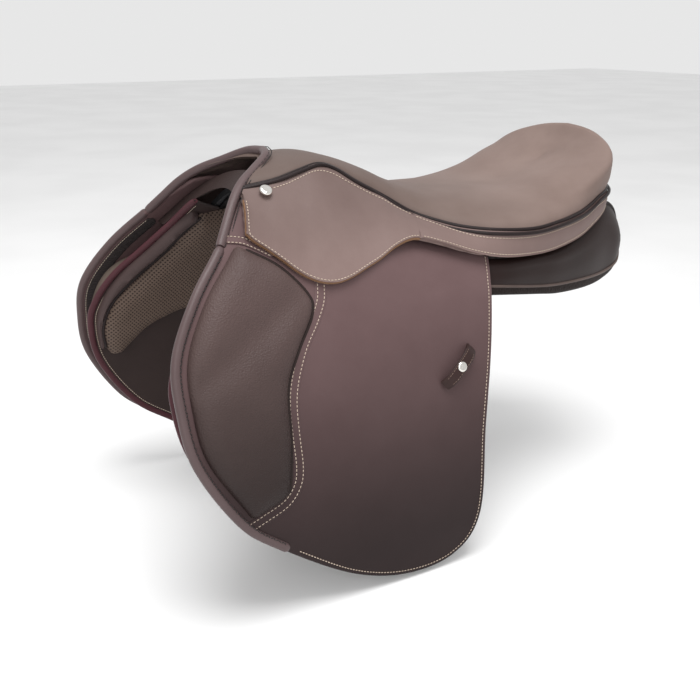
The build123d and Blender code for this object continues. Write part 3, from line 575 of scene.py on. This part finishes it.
def metal(name, dark, light, roughness, stretch):
    """Metal with fine lines along it, or an even polish when nothing is stretched."""
    material, nodes, links, surface, place_in = new_material(name, roughness, 1.0)
    drawn = nodes.new("ShaderNodeMapping")
    drawn.inputs["Scale"].default_value = (1, stretch, 1)
    links.new(place_in, drawn.inputs["Vector"])
    lines = texture(nodes, links, "ShaderNodeTexNoise", drawn.outputs["Vector"], 500.0, Detail=6.0)
    links.new(ramp(nodes, links, lines.outputs["Fac"], dark, light), surface.inputs["Base Color"])
    bump(nodes, links, surface, lines.outputs["Fac"], 0.12, 0.00005)
    return material


def woven(name, dark, light):
    """Webbing: two crossed sets of yarns."""
    material, nodes, links, surface, place_in = new_material(name, 0.85)
    yarns = texture(nodes, links, "ShaderNodeTexWave", place_in, 260.0, Distortion=0.4, bands_direction="Y")
    cross = texture(nodes, links, "ShaderNodeTexWave", place_in, 260.0, Distortion=0.4, bands_direction="X")
    both = nodes.new("ShaderNodeMath")
    both.operation = "MULTIPLY"
    links.new(yarns.outputs["Fac"], both.inputs[0])
    links.new(cross.outputs["Fac"], both.inputs[1])
    links.new(ramp(nodes, links, both.outputs[0], dark, light, (0.1, 0.6)), surface.inputs["Base Color"])
    bump(nodes, links, surface, both.outputs[0], 0.8, 0.0004)
    return material


def plastic(name, dark, light):
    """Moulded plastic with a fine grain."""
    material, nodes, links, surface, place_in = new_material(name, 0.5)
    grain = texture(nodes, links, "ShaderNodeTexNoise", place_in, 700.0, Detail=4.0)
    slow = texture(nodes, links, "ShaderNodeTexNoise", place_in, 20.0)
    links.new(ramp(nodes, links, slow.outputs["Fac"], dark, light), surface.inputs["Base Color"])
    bump(nodes, links, surface, grain.outputs["Fac"], 0.4, 0.0002)
    return material


LOOKS = {
    # seat: painted light and shade, darker towards the pommel and lighter towards the cantle
    "seat_leather": leather("seat_leather", (0.122, 0.086, 0.074), (0.168, 0.124, 0.109), 0.55, 1000, 0.0002,
                            painted_shading=("Y", -0.13, 0.16, 0.74, 1.28)),
    # flap: painted shade and light, much darker at the bottom and lighter at the top
    "flap_leather": leather("flap_leather", (0.053, 0.032, 0.032), (0.067, 0.042, 0.042), 0.5, 1300, 0.00012,
                            painted_shading=("Z", -0.20, 0.07, 0.36, 1.85)),
    # skirt: painted light and shade, lighter along its lower part and darker towards the top
    "skirt_leather": leather("skirt_leather", (0.128, 0.087, 0.079), (0.170, 0.121, 0.111), 0.48, 1300,
                             0.00012,
                             painted_shading=("Z", 0.05, 0.13, 1.22, 0.92)),
    # knee pad: painted shade and light, darker at the bottom and lighter at the top
    "pad_leather": leather("pad_leather", (0.048, 0.031, 0.029), (0.066, 0.044, 0.041), 0.44, 640, 0.0005,
                           0.8,
                           painted_shading=("Z", -0.12, 0.07, 0.44, 1.36), shine=0.16),
    "binding_leather": leather("binding_leather", (0.066, 0.042, 0.042), (0.098, 0.066, 0.066), 0.42, 900,
                               shine=0.3),
    "sweat_binding_leather": leather("sweat_binding_leather", (0.050, 0.017, 0.021), (0.076, 0.027, 0.033),
                                     0.42),
    "lining_leather": leather("lining_leather", (0.026, 0.017, 0.016), (0.040, 0.027, 0.025), 0.5, 1100),
    "panel_leather": leather("panel_leather", (0.014, 0.008, 0.007), (0.022, 0.012, 0.011), 0.4, 1100,
                             0.0001),
    "shoulder_leather": perforated_leather("shoulder_leather", (0.090, 0.062, 0.048), (0.125, 0.088, 0.070),
                                           (0.022, 0.013, 0.011), 0.0031),
    "block_leather": leather("block_leather", (0.10, 0.076, 0.062), (0.15, 0.118, 0.098), 0.55),
    "billet_leather": leather("billet_leather", (0.050, 0.030, 0.024), (0.080, 0.050, 0.040), 0.45),
    "webbing": woven("webbing", (0.30, 0.27, 0.22), (0.62, 0.57, 0.48)),
    "foam": plastic("foam", (0.55, 0.52, 0.42), (0.66, 0.62, 0.50)),
    "tree_plastic": plastic("tree_plastic", (0.03, 0.03, 0.032), (0.05, 0.05, 0.052)),
    # near-black steel for the gullet plate and screws: painted shade under the pommel arch
    "dark_steel": metal("dark_steel", (0.030, 0.029, 0.030), (0.060, 0.058, 0.060), 0.45, 0.05),
    "steel": metal("steel", (0.20, 0.20, 0.21), (0.34, 0.34, 0.35), 0.36, 0.05),
    "nickel": metal("nickel", (0.66, 0.64, 0.60), (0.80, 0.78, 0.74), 0.16, 1.0),
}
CREAM = thread("cream_thread", (0.34, 0.26, 0.20), (0.56, 0.46, 0.37))
TAN = thread("tan_thread", (0.10, 0.06, 0.045), (0.20, 0.13, 0.10))
DARK = thread("dark_thread", (0.006, 0.004, 0.004), (0.016, 0.011, 0.010))
RAW_EDGE = leather("raw_edge", (0.15, 0.080, 0.045), (0.23, 0.13, 0.075), 0.6, 1500)
ROLL = leather("roll_leather", (0.050, 0.033, 0.032), (0.075, 0.051, 0.049), 0.45, 1100)
KEEPER_LOOK = leather("keeper_leather", (0.022, 0.012, 0.011), (0.040, 0.022, 0.020), 0.4)
# near-black leather for the groove on the knee pad's rear edge: a real groove, with its shadow painted into
# the colour
GROOVE_SHADOW = leather("groove_leather", (0.016, 0.010, 0.009), (0.030, 0.020, 0.018), 0.6)
DARK_PIPING = leather("dark_piping", (0.012, 0.008, 0.008), (0.024, 0.016, 0.016), 0.38)
PALE_PIPING = leather("pale_piping", (0.07, 0.05, 0.045), (0.11, 0.08, 0.07), 0.4)
PANEL_STRIP = leather("panel_strip", (0.012, 0.008, 0.007), (0.020, 0.013, 0.012), 0.6, 420, 0.0006, 1.0)
RIBBED = woven("ribbed_band", (0.010, 0.007, 0.007), (0.042, 0.028, 0.027))


# ---------------------------------------------------------------- baking placements and hiding CAD nodes
def fold(side, piece):
    """Bakes the placement of a piece on the flap into its mesh."""
    x = layer_x(np.array([-130.0]), np.array([48.0]), 0)[0] * SIDES[side]
    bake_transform(piece)


def lift(side, piece):
    """Bakes the placement of a piece of the skirt into its mesh."""
    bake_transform(piece)


def dress(piece, slot_name, *nodes):
    """Hides the CAD nodes that the piece stands for."""
    if nodes:
        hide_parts(*nodes)
    return piece


# ---------------------------------------------------------------- flap, bindings and knee pad
def flap_loops():
    """The whole flap's outline and its stirrup-bar window."""
    outline = closed(smooth(FLAP_EDGE), smooth([FLAP_EDGE[-1], *FLAP_HEAD[:5]]),
                     smooth([*FLAP_HEAD[4:], FLAP_EDGE[0]]))
    y0, y1, z0, z1 = FLAP_WINDOW
    window = [(y0, z1 + WINDOW_RISE), (y1, z1), (y1, z0), (y0, z0 + WINDOW_RISE)]
    return [outline, closed(np.array(window, float), step=4.0)]


def make_flap(side):
    """The flap in one sheet, from under the skirt to its lower edge."""
    face = flat_face(0.0, -FLAP_LEATHER / 2, 1.8)
    back = flat_face(-FLAP_LEATHER, -FLAP_LEATHER / 2, 1.8)
    flap = slab(f"flap_sheet_{side}", flap_loops(), 0, face, back,
                [LOOKS["flap_leather"]], SIDES[side])
    dress(flap, "flap_leather", f"flap_{side}", f"flap_top_{side}")
    fold(side, flap)
    line = beside(smooth(FLAP_EDGE[FLAP_BOUND:]), 4.5)
    points, normals = place(line[4:], 0, 0.25)
    seam = stitches(f"flap_stitches_{side}", points, normals, CREAM, SIDES[side])
    dress(seam, "flap_leather")
    fold(side, seam)


def binding_path():
    """The flap's rolled edge from the joint with the pommel's binding to the point below the pad."""
    return smooth(FLAP_EDGE[:FLAP_BOUND + 1])


def make_flap_binding(side):
    """The rolled binding of the flap's front edge, with dark slanted stitches inside it."""
    path, normals = place(beside(binding_path(), 3.2), 0, -0.8)
    roll = sweep(f"flap_binding_roll_{side}", path, normals, oval(8.6, 8.4, power=0.85),
                 [LOOKS["binding_leather"]], SIDES[side], 0.7)
    dress(roll, "binding_leather", f"flap_binding_{side}")
    fold(side, roll)
    inner, normals = place(beside(binding_path()[2:-2], 6.3), 0, 2.6)
    seam = stitches(f"flap_binding_stitches_{side}", inner, normals, DARK, SIDES[side], 3.0, 2.8, 1.0, 35)
    dress(seam, "binding_leather")
    fold(side, seam)


def make_flap_lining(side):
    """The dark mesh band inside the rolled edge, with a row of stitches, seen on the far side."""
    inner = -FLAP_LEATHER - 0.6
    path, normals = place(beside(binding_path(), 13.0), 0, inner)
    band = sweep(f"flap_mesh_band_{side}", path, -normals, oval(13.0, 1.2, power=0.6), [RIBBED],
                 SIDES[side], 0.25)
    dress(band, "flap_leather")
    fold(side, band)
    line, normals = place(beside(binding_path()[2:-2], 7.6), 0, inner - 0.4)
    seam = stitches(f"flap_inner_stitches_{side}", line, -normals, CREAM, SIDES[side], 3.0, 2.0, 0.8)
    dress(seam, "flap_leather")
    fold(side, seam)


def make_pad_top_strip(side):
    """The stitched strip from the binding's joint to the skirt, above the knee pad."""
    line = smooth(PAD_TOP_STRIP)
    path, normals = place(line, 0, 0.6)
    strip = sweep(f"pad_top_strip_{side}", path, normals, oval(7.5, 1.4, power=0.6), [LOOKS["flap_leather"]],
                  SIDES[side], 0.9)
    dress(strip, "flap_leather")
    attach(strip, "root")
    for number, shift in enumerate((-2.2, 2.2)):
        points, normals = place(beside(line, shift), 0, 1.5)
        seam = stitches(f"pad_top_stitches_{number + 1}_{side}", points, normals, CREAM, SIDES[side])
        dress(seam, "flap_leather")
        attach(seam, "root")


def make_pommel_binding():
    """The rolled binding over the arch, down to the joint on each side, with two dark seams."""
    left = smooth(ARCH_EDGE[::-1], 3.0)
    whole = np.vstack([left, (left * (-1, 1, 1))[::-1][1:]])
    out = whole * (1, 0, 1) - (0, 0, 20)
    out = out / np.linalg.norm(out, axis=1)[:, None]
    out[:, 1] = -0.5 * (1 - abs(whole[:, 0]) / 96)
    out /= np.linalg.norm(out, axis=1)[:, None]
    back = np.cross(directions(whole), out)
    back *= np.sign(back[:, 1:2])
    roll = sweep("pommel_binding_roll", whole - out * 1.2 + back * 3.0, out, oval(8.8, 8.4, power=0.85),
                 [LOOKS["binding_leather"]], 1, 0.9)
    dress(roll, "binding_leather", "pommel_binding")
    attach(roll, "root")
    for number, (shift, rise, slant) in enumerate(((6.4, 1.0, 35), (9.2, -0.6, 0))):
        seam = stitches(f"pommel_seam_{number + 1}", whole + back * shift + out * rise, out, DARK, 1,
                        3.0, 2.8, 1.0, slant)
        dress(seam, "binding_leather")
        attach(seam, "root")


def pad_height(distance, points):
    """The knee pad's stuffed height, with the shallow valley that crosses it."""
    crown = 13.0 * round_edge(distance, 19) + 0.2
    y, z = points.T
    start, end = np.array([-185.0, 50.0]), np.array([-286.0, -4.0])
    along = (end - start) / np.linalg.norm(end - start)
    offset = points - start
    across = offset[:, 0] * -along[1] + offset[:, 1] * along[0]
    valley = 4.6 * np.exp(-(across / 13.0) ** 2)
    puff = 1.2 * np.exp(-((y + 262) ** 2 + (z + 40) ** 2) / 2600)
    return np.maximum(crown - valley * np.clip(distance / 10, 0, 1) + puff, 0.3)


def make_knee_pad(side):
    """The stuffed, grained pad on the front of the flap and the stitched strip round it."""
    outline = closed(smooth(PAD_FRONT), smooth([PAD_FRONT[-1], (-240, -119), PAD_REAR[0]]),
                     smooth(PAD_REAR), smooth([PAD_REAR[-1], (-233, 91), PAD_FRONT[0]]))
    pad = slab(f"knee_pad_stuffed_{side}", [outline], 0, pad_height, lambda d, p: 0 * d + 0.1,
               [LOOKS["pad_leather"]], SIDES[side], 4.5, (0.6, 1.6, 3.2, 5.4, 8.0))
    dress(pad, "pad_leather", f"knee_pad_{side}", f"knee_pad_top_{side}")
    fold(side, pad)
    welt = smooth(PAD_WELT)
    for number, shift in enumerate((-3.2, 3.2)):
        points, normals = place(beside(welt, shift), 0, 0.5)
        seam = stitches(f"pad_stitches_{number + 1}_{side}", points, normals, CREAM, SIDES[side], 3.6, 2.3,
                        0.9)
        dress(seam, "flap_leather")
        fold(side, seam)
    path, normals = place(welt, 0, 0.1)
    strip = sweep(f"pad_strip_{side}", path, normals, oval(11.5, 1.0, power=0.6), [LOOKS["flap_leather"]],
                  SIDES[side], 0.9)
    dress(strip, "flap_leather")
    fold(side, strip)
    # a dark cord along the pad's rear edge: the groove there, with painted shadow in its near-black colour
    path, normals = place(beside(smooth(PAD_REAR), -1.2), 0, 0.3)
    groove = sweep(f"pad_groove_{side}", path, normals, oval(4.2, 2.2), [GROOVE_SHADOW], SIDES[side])
    dress(groove, "pad_leather")
    fold(side, groove)


def make_keeper(side):
    """The strap keeper for the end of the stirrup leather, with its stitches."""
    centre = np.array([[-38.0, -35.0]])
    slope = math.radians(39.6)
    ahead = np.array([math.cos(slope), math.sin(slope)])
    reach = np.linspace(-23.0, 23.0, 24)
    rise = 2.0 + 6.6 * np.clip(1 - (np.abs(reach) / 23.0) ** 4, 0, 1)
    points, normals = place(centre + reach[:, None] * ahead, 0)
    path = points + normals * rise[:, None]
    strap = sweep(f"keeper_strap_{side}", path, normals, oval(12.5, 2.6, power=0.5), [KEEPER_LOOK],
                  SIDES[side], 0.92)
    dress(strap, "flap_leather", f"keeper_{side}")
    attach(strap, f"flap_{side}")
    across = np.cross(normals, directions(path))
    for number, shift in enumerate((-4.4, 4.4)):
        line = path[1:-1] + across[1:-1] * shift + normals[1:-1] * 1.25
        seam = stitches(f"keeper_stitches_{number + 1}_{side}", line, normals[1:-1], TAN, SIDES[side], 3, 2,
                        0.6)
        dress(seam, "flap_leather")
        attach(seam, f"flap_{side}")


# ---------------------------------------------------------------- skirt and cantle band
def skirt_grid(swell, front_rise=0.0):
    """The ruled surface between the skirt's upper and lower lines, a little bellied, and its normals."""
    pairs = through(SKIRT_LINES, SKIRT_SPANS)
    share = np.linspace(0, 1, 17)
    grid = pairs[:, None, 0] * (1 - share[None, :, None]) + pairs[:, None, 1] * share[None, :, None]
    normals = grid_normals(grid)
    normals *= np.sign(((grid - (0, 60, 0)) * (1, 1, 0) * normals).sum(-1).mean())
    belly = np.sin(np.pi * share)[None, :] * swell
    front = front_rise * np.clip(1 - np.arange(len(grid)) / 14, 0, 1)[:, None]
    return grid + normals * (belly + front)[..., None], normals


def across_skirt(grid, normals, distance, rise=0.3, from_top=True):
    """A line at some distance from the skirt's upper or lower edge, just above its surface."""
    width = np.linalg.norm(grid[:, -1] - grid[:, 0], axis=1)
    share = np.clip(distance / width, 0, 1)
    column = (share if from_top else 1 - share) * (grid.shape[1] - 1)
    index = np.minimum(column.astype(int), grid.shape[1] - 2)
    part = (column - index)[:, None]
    rows = np.arange(len(grid))
    line = grid[rows, index] * (1 - part) + grid[rows, index + 1] * part
    return line + normals[rows, index] * rise, normals[rows, index]


def make_skirt(side):
    """The skirt that lifts, its raw edge, and its stitches."""
    grid, normals = skirt_grid(3.0, 1.6)
    split = BAND_START * SKIRT_SPANS + 1
    grid, normals = grid[:split], normals[:split]
    skirt = shell(f"skirt_sheet_{side}", grid, 3.8, [LOOKS["skirt_leather"]], SIDES[side])
    dress(skirt, "skirt_leather", f"skirt_{side}", f"skirt_top_{side}")
    lift(side, skirt)
    border = np.vstack([grid[0, 3:-1], grid[:, -1]])
    out = np.vstack([normals[0, 3:-1], normals[:, -1]])
    edge = sweep(f"skirt_raw_edge_{side}", border - out * 1.9, out, oval(1.2, 3.0), [RAW_EDGE], SIDES[side])
    dress(edge, "skirt_leather")
    lift(side, edge)
    low_line, low_normals = across_skirt(grid, normals, 1.9, from_top=False)
    low_line = np.vstack([grid[2, 4:-1] + normals[2, 4:-1] * 0.3, low_line[3:]])
    low_normals = np.vstack([normals[2, 4:-1], low_normals[3:]])
    top_line, top_normals = across_skirt(grid, normals, TOP_STITCH_INSET)
    behind_stud = 3 * SKIRT_SPANS
    rows = (("low", low_line, low_normals), ("top", top_line[behind_stud:], top_normals[behind_stud:]))
    for name, line, line_normals in rows:
        seam = stitches(f"skirt_stitches_{name}_{side}", line, line_normals, CREAM, SIDES[side])
        dress(seam, "skirt_leather")
        lift(side, seam)


def mirrored_line(line):
    """A left line that ends on the mid-plane, carried on down the right side."""
    return np.concatenate([line, (line * (-1, 1, 1))[::-1][1:]])


def make_band():
    """The band round the cantle in one piece, with stitches along both edges."""
    grid, normals = skirt_grid(2.0)
    start = BAND_START * SKIRT_SPANS
    whole = mirrored_line(grid[start:])
    band = shell("cantle_band_sheet", whole, 3.4, [LOOKS["skirt_leather"]])
    dress(band, "skirt_leather", "cantle_band")
    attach(band, "root")
    for name, distance, from_top in (("top", TOP_STITCH_INSET, True), ("low", 2.4, False)):
        line, line_normals = across_skirt(grid[start + 1:], normals[start + 1:], distance, 0.3, from_top)
        line_normals = np.vstack([line_normals, (line_normals * (-1, 1, 1))[::-1][1:]])
        seam = stitches(f"band_stitches_{name}", mirrored_line(line), line_normals, CREAM)
        dress(seam, "skirt_leather")
        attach(seam, "root")


# ---------------------------------------------------------------- seat
def make_seat():
    """The stretched seat in one skin, from its welt up over the rim and down into the dish."""
    lines = through(SEAT_LINES, 4)
    grid = np.swapaxes(through(np.swapaxes(lines, 0, 1), 5), 0, 1)
    rows, columns, _ = grid.shape
    grid = np.concatenate([grid, (grid * (-1, 1, 1))[:, -2::-1]], axis=1)
    rows, columns, _ = grid.shape
    normals = grid_normals(grid)
    if normals[rows // 2, columns // 2, 2] < 0:
        normals = -normals
    under = grid - normals * 2.0
    under[..., 2] = np.minimum(under[..., 2], grid[..., 2] - 1.5)
    count = rows * columns
    faces = grid_faces(rows, columns)
    sample = np.cross(grid[rows // 2, columns // 2 + 1] - grid[rows // 2, columns // 2],
                      grid[rows // 2 + 1, columns // 2] - grid[rows // 2, columns // 2])
    if sample[2] < 0:
        faces = [face[::-1] for face in faces]
    faces += [tuple(i + count for i in face[::-1]) for face in faces]
    seat = make("seat_skin", np.vstack([grid.reshape(-1, 3), under.reshape(-1, 3)]), faces,
                [LOOKS["seat_leather"]], sharp=80)
    weld = seat.modifiers.new("weld", "WELD")
    weld.merge_threshold = 0.15 * MM
    settle(seat)
    dress(seat, "seat_leather", "seat_cover", "seat_foam")
    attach(seat, "root")


def make_seat_piping():
    """Two dark cords between the seat and the skirts."""
    whole = mirrored_line(smooth([row[0] for row in SEAT_LINES[3:]], 3.0))
    out = np.cross(directions(whole), (0, 0, 1))
    out /= np.linalg.norm(out, axis=1)[:, None]
    out *= np.sign((out * (whole - (0, 60, 0))).sum(-1)).mean()
    up = np.array([0, 0, 1])
    for number, (away, front, rear, radius) in enumerate(((0.6, 1.4, 0.8, 2.0), (4.4, 1.0, -2.4, 1.8))):
        rise = np.interp(whole[:, 1], (-80, -10), (front, rear))[:, None]
        cord = tube(f"seat_piping_{number + 1}", whole + out * away + up * rise, radius, DARK_PIPING)
        dress(cord, "seat_leather")
        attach(cord, "root")


# ---------------------------------------------------------------- panels and what lies inside the flap
def make_panel(side):
    """The stuffed rear panel with its piping and its darker band near the lower edge."""
    rings = np.array([[(x, y, z) for x, z in ring] for y, ring in PANEL_RINGS.items()], float)
    rings = through(rings, 4)
    around = np.concatenate([rings[:, -1:], rings, rings[:, :2]], axis=1)
    ring_lines = np.swapaxes(through(np.swapaxes(around, 0, 1), 4), 0, 1)[:, 4:-5]
    rows, size, _ = ring_lines.shape
    vertices = ring_lines.reshape(-1, 3)
    faces = [(r * size + j, r * size + (j + 1) % size, (r + 1) * size + (j + 1) % size, (r + 1) * size + j)
             for r in range(rows - 1) for j in range(size)]
    faces = [face[::-1] for face in faces]
    strip = [int(12 <= j < 16) for _ in range(rows - 1) for j in range(size)] + [0, 0]
    faces += [tuple(range(size)), tuple((rows - 1) * size + j for j in range(size))[::-1]]
    panel = make(f"panel_stuffed_{side}", vertices, faces, [LOOKS["panel_leather"], PANEL_STRIP],
                 SIDES[side],
                 strip, sharp=70)
    dress(panel, "panel_leather", f"panel_{side}")
    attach(panel, "root")
    piping = tube(f"panel_piping_{side}", evenly(rings[6:, 3], 3.0), 1.7, PALE_PIPING, SIDES[side])
    dress(piping, "panel_leather")
    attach(piping, "root")
    welt = tube(f"panel_welt_{side}", evenly(rings[6:-3, 1], 3.0), 2.2, RIBBED, SIDES[side])
    dress(welt, "panel_leather")
    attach(welt, "root")


def make_sweat_flap(side):
    """The inner flap with its burgundy binding and the stitches inside it."""
    outline = closed(smooth(SWEAT_EDGE), smooth([SWEAT_EDGE[-1], (-60, 60), (-150, 84), SWEAT_EDGE[0]]))
    face = flat_face(0.0, -1.5, 1.2)
    back = flat_face(-SWEAT_LEATHER, -1.5, 1.2)
    sheet = slab(f"sweat_flap_sheet_{side}", [outline], -SWEAT_DEPTH, face, back, [LOOKS["lining_leather"]],
                 SIDES[side], 7.0)
    dress(sheet, "lining_leather", f"sweat_flap_{side}")
    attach(sheet, "root")
    line = smooth(SWEAT_EDGE[:SWEAT_BOUND + 1])
    path, normals = place(beside(line, 2.2), -SWEAT_DEPTH, -1.5)
    roll = sweep(f"sweat_binding_roll_{side}", path, normals, oval(7.0, 6.2, power=0.85),
                 [LOOKS["sweat_binding_leather"]], SIDES[side], 0.7)
    dress(roll, "sweat_binding_leather", f"sweat_flap_binding_{side}")
    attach(roll, "root")
    inner, normals = place(beside(line[1:-1], 7.2), -SWEAT_DEPTH, -SWEAT_LEATHER - 0.2)
    seam = stitches(f"sweat_stitches_{side}", inner, -normals, CREAM, SIDES[side], 3.0, 2.2, 0.8)
    dress(seam, "sweat_binding_leather")
    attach(seam, "root")


def make_shoulder(side):
    """The smooth front roll, the black seam, and the perforated pad behind it, inside the sweat flap."""
    roll_front = [(-224, 86), (-249, 57), (-275, 31), (-294, 3), (-302, -25), (-300, -54)]
    roll = closed(smooth(roll_front), smooth([roll_front[-1], (-298, -62), ROLL_SEAM[-1]]),
                  smooth(ROLL_SEAM[::-1]), smooth([ROLL_SEAM[0], (-214, 94), roll_front[0]]))
    pad = closed(smooth(ROLL_SEAM), smooth([ROLL_SEAM[-1], (-287, -68), SHOULDER_REAR[0]]),
                 smooth(SHOULDER_REAR), smooth([SHOULDER_REAR[-1], (-130, 96), ROLL_SEAM[0]]))
    floor = -SWEAT_DEPTH - SWEAT_LEATHER
    for name, loop, depth, run, look in (("shoulder_roll", roll, 11.0, 12.0, ROLL),
                                         ("shoulder_pad", pad, 15.0, 16.0, LOOKS["shoulder_leather"])):
        piece = slab(f"{name}_{side}", [loop], floor, lambda d, p: 0 * d - 0.1,
                     lambda d, p, depth=depth, run=run: -0.4 - depth * round_edge(d, run),
                     [look], SIDES[side], 6.0, (0.8, 2.0, 4.0, 7.0))
        dress(piece, "shoulder_leather")
        if name == "shoulder_pad":
            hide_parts(f"shoulder_panel_{side}")
        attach(piece, "root")
    seam, normals = place(smooth(ROLL_SEAM), floor, -5.0)
    cord = tube(f"shoulder_seam_{side}", seam, 2.0, DARK_PIPING, SIDES[side])
    dress(cord, "shoulder_leather")
    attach(cord, "root")


def carry_over():
    """Gives every CAD node that still shows its own look."""
    looks = {"foam": ["seat_foam"], "webbing": ["seat_webbing", "girth_webs"],
             "tree_plastic": ["tree_frame"],
             # the gullet plate and screws under the pommel get near-black steel, which paints the shade
             # there
             "dark_steel": ["gullet_plate", "gullet_screws"],
             "steel": ["stirrup_bar", "bar_catch", "catch_pins", "bar_rivets"],
             "nickel": ["pommel_studs", "keeper_stud"], "lining_leather": ["arch_facing", "point_pocket"],
             "block_leather": ["knee_block"], "billet_leather": ["billet"]}
    for node in bpy.data.objects:
        if node.type != "MESH" or "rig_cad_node" not in node:
            continue
        for look, starts in looks.items():
            if any(node.name.startswith(start) for start in starts):
                node.data.materials.clear()
                node.data.materials.append(LOOKS[look])
                for polygon in node.data.polygons:
                    polygon.use_smooth = True
                node.data.set_sharp_from_angle(angle=math.radians(35))


# ---------------------------------------------------------------- studio
def light(name, location, target, size, power, colour=(1, 1, 1)):
    """A soft square lamp that points at a target."""
    lamp = bpy.data.lights.new(name, "AREA")
    lamp.shape, lamp.size, lamp.energy, lamp.color = "SQUARE", size, power, colour
    body = bpy.data.objects.new(name, lamp)
    bpy.context.scene.collection.objects.link(body)
    body.location = location
    body.rotation_euler = (Vector(target) - Vector(location)).to_track_quat("-Z", "Y").to_euler()


def make_studio():
    """A pale floor, soft light from above and in front, and the photograph's viewpoint."""
    floor_look, nodes, links, surface, place_in = new_material("floor", 0.9)
    tint = texture(nodes, links, "ShaderNodeTexNoise", place_in, 3.0)
    links.new(ramp(nodes, links, tint.outputs["Fac"], (0.84, 0.84, 0.84), (0.88, 0.88, 0.88)),
              surface.inputs["Base Color"])
    size, drop = 8000.0, -236.0
    floor = make("floor",
                 [(-size, -size, drop), (size, -size, drop), (size, size, drop), (-size, size, drop)],
                 [(0, 1, 2, 3)], [floor_look])
    world = bpy.data.worlds.new("studio")
    world.use_nodes = True
    world.node_tree.nodes["Background"].inputs["Color"].default_value = (1, 1, 1, 1)
    world.node_tree.nodes["Background"].inputs["Strength"].default_value = 0.8
    bpy.context.scene.world = world
    light("overhead", (0.5, -0.3, 1.8), (0, 0, 0), 1.1, 34)
    light("front_left", (1.7, -1.1, 0.7), (0, 0, 0), 1.2, 10)
    target = Vector((0, -0.063, -0.063))
    lens = bpy.data.cameras.new("photo")
    lens.lens, lens.sensor_width, lens.clip_start = 47.2, 36, 0.01
    camera = bpy.data.objects.new("photo", lens)
    bpy.context.scene.collection.objects.link(camera)
    camera.location = target + Vector((0.8164, -0.4713, 0.3338))
    camera.rotation_euler = (target - camera.location).to_track_quat("-Z", "Y").to_euler()
    bpy.context.scene.camera = camera
    bpy.context.scene.view_settings.view_transform = "Standard"


for side_name in SIDES:
    make_flap(side_name)
    make_flap_binding(side_name)
    make_knee_pad(side_name)
    make_flap_lining(side_name)
    make_pad_top_strip(side_name)
    make_keeper(side_name)
    make_skirt(side_name)
    make_panel(side_name)
    make_sweat_flap(side_name)
    make_shoulder(side_name)
make_pommel_binding()
make_band()
make_seat()
make_seat_piping()
carry_over()
make_studio()
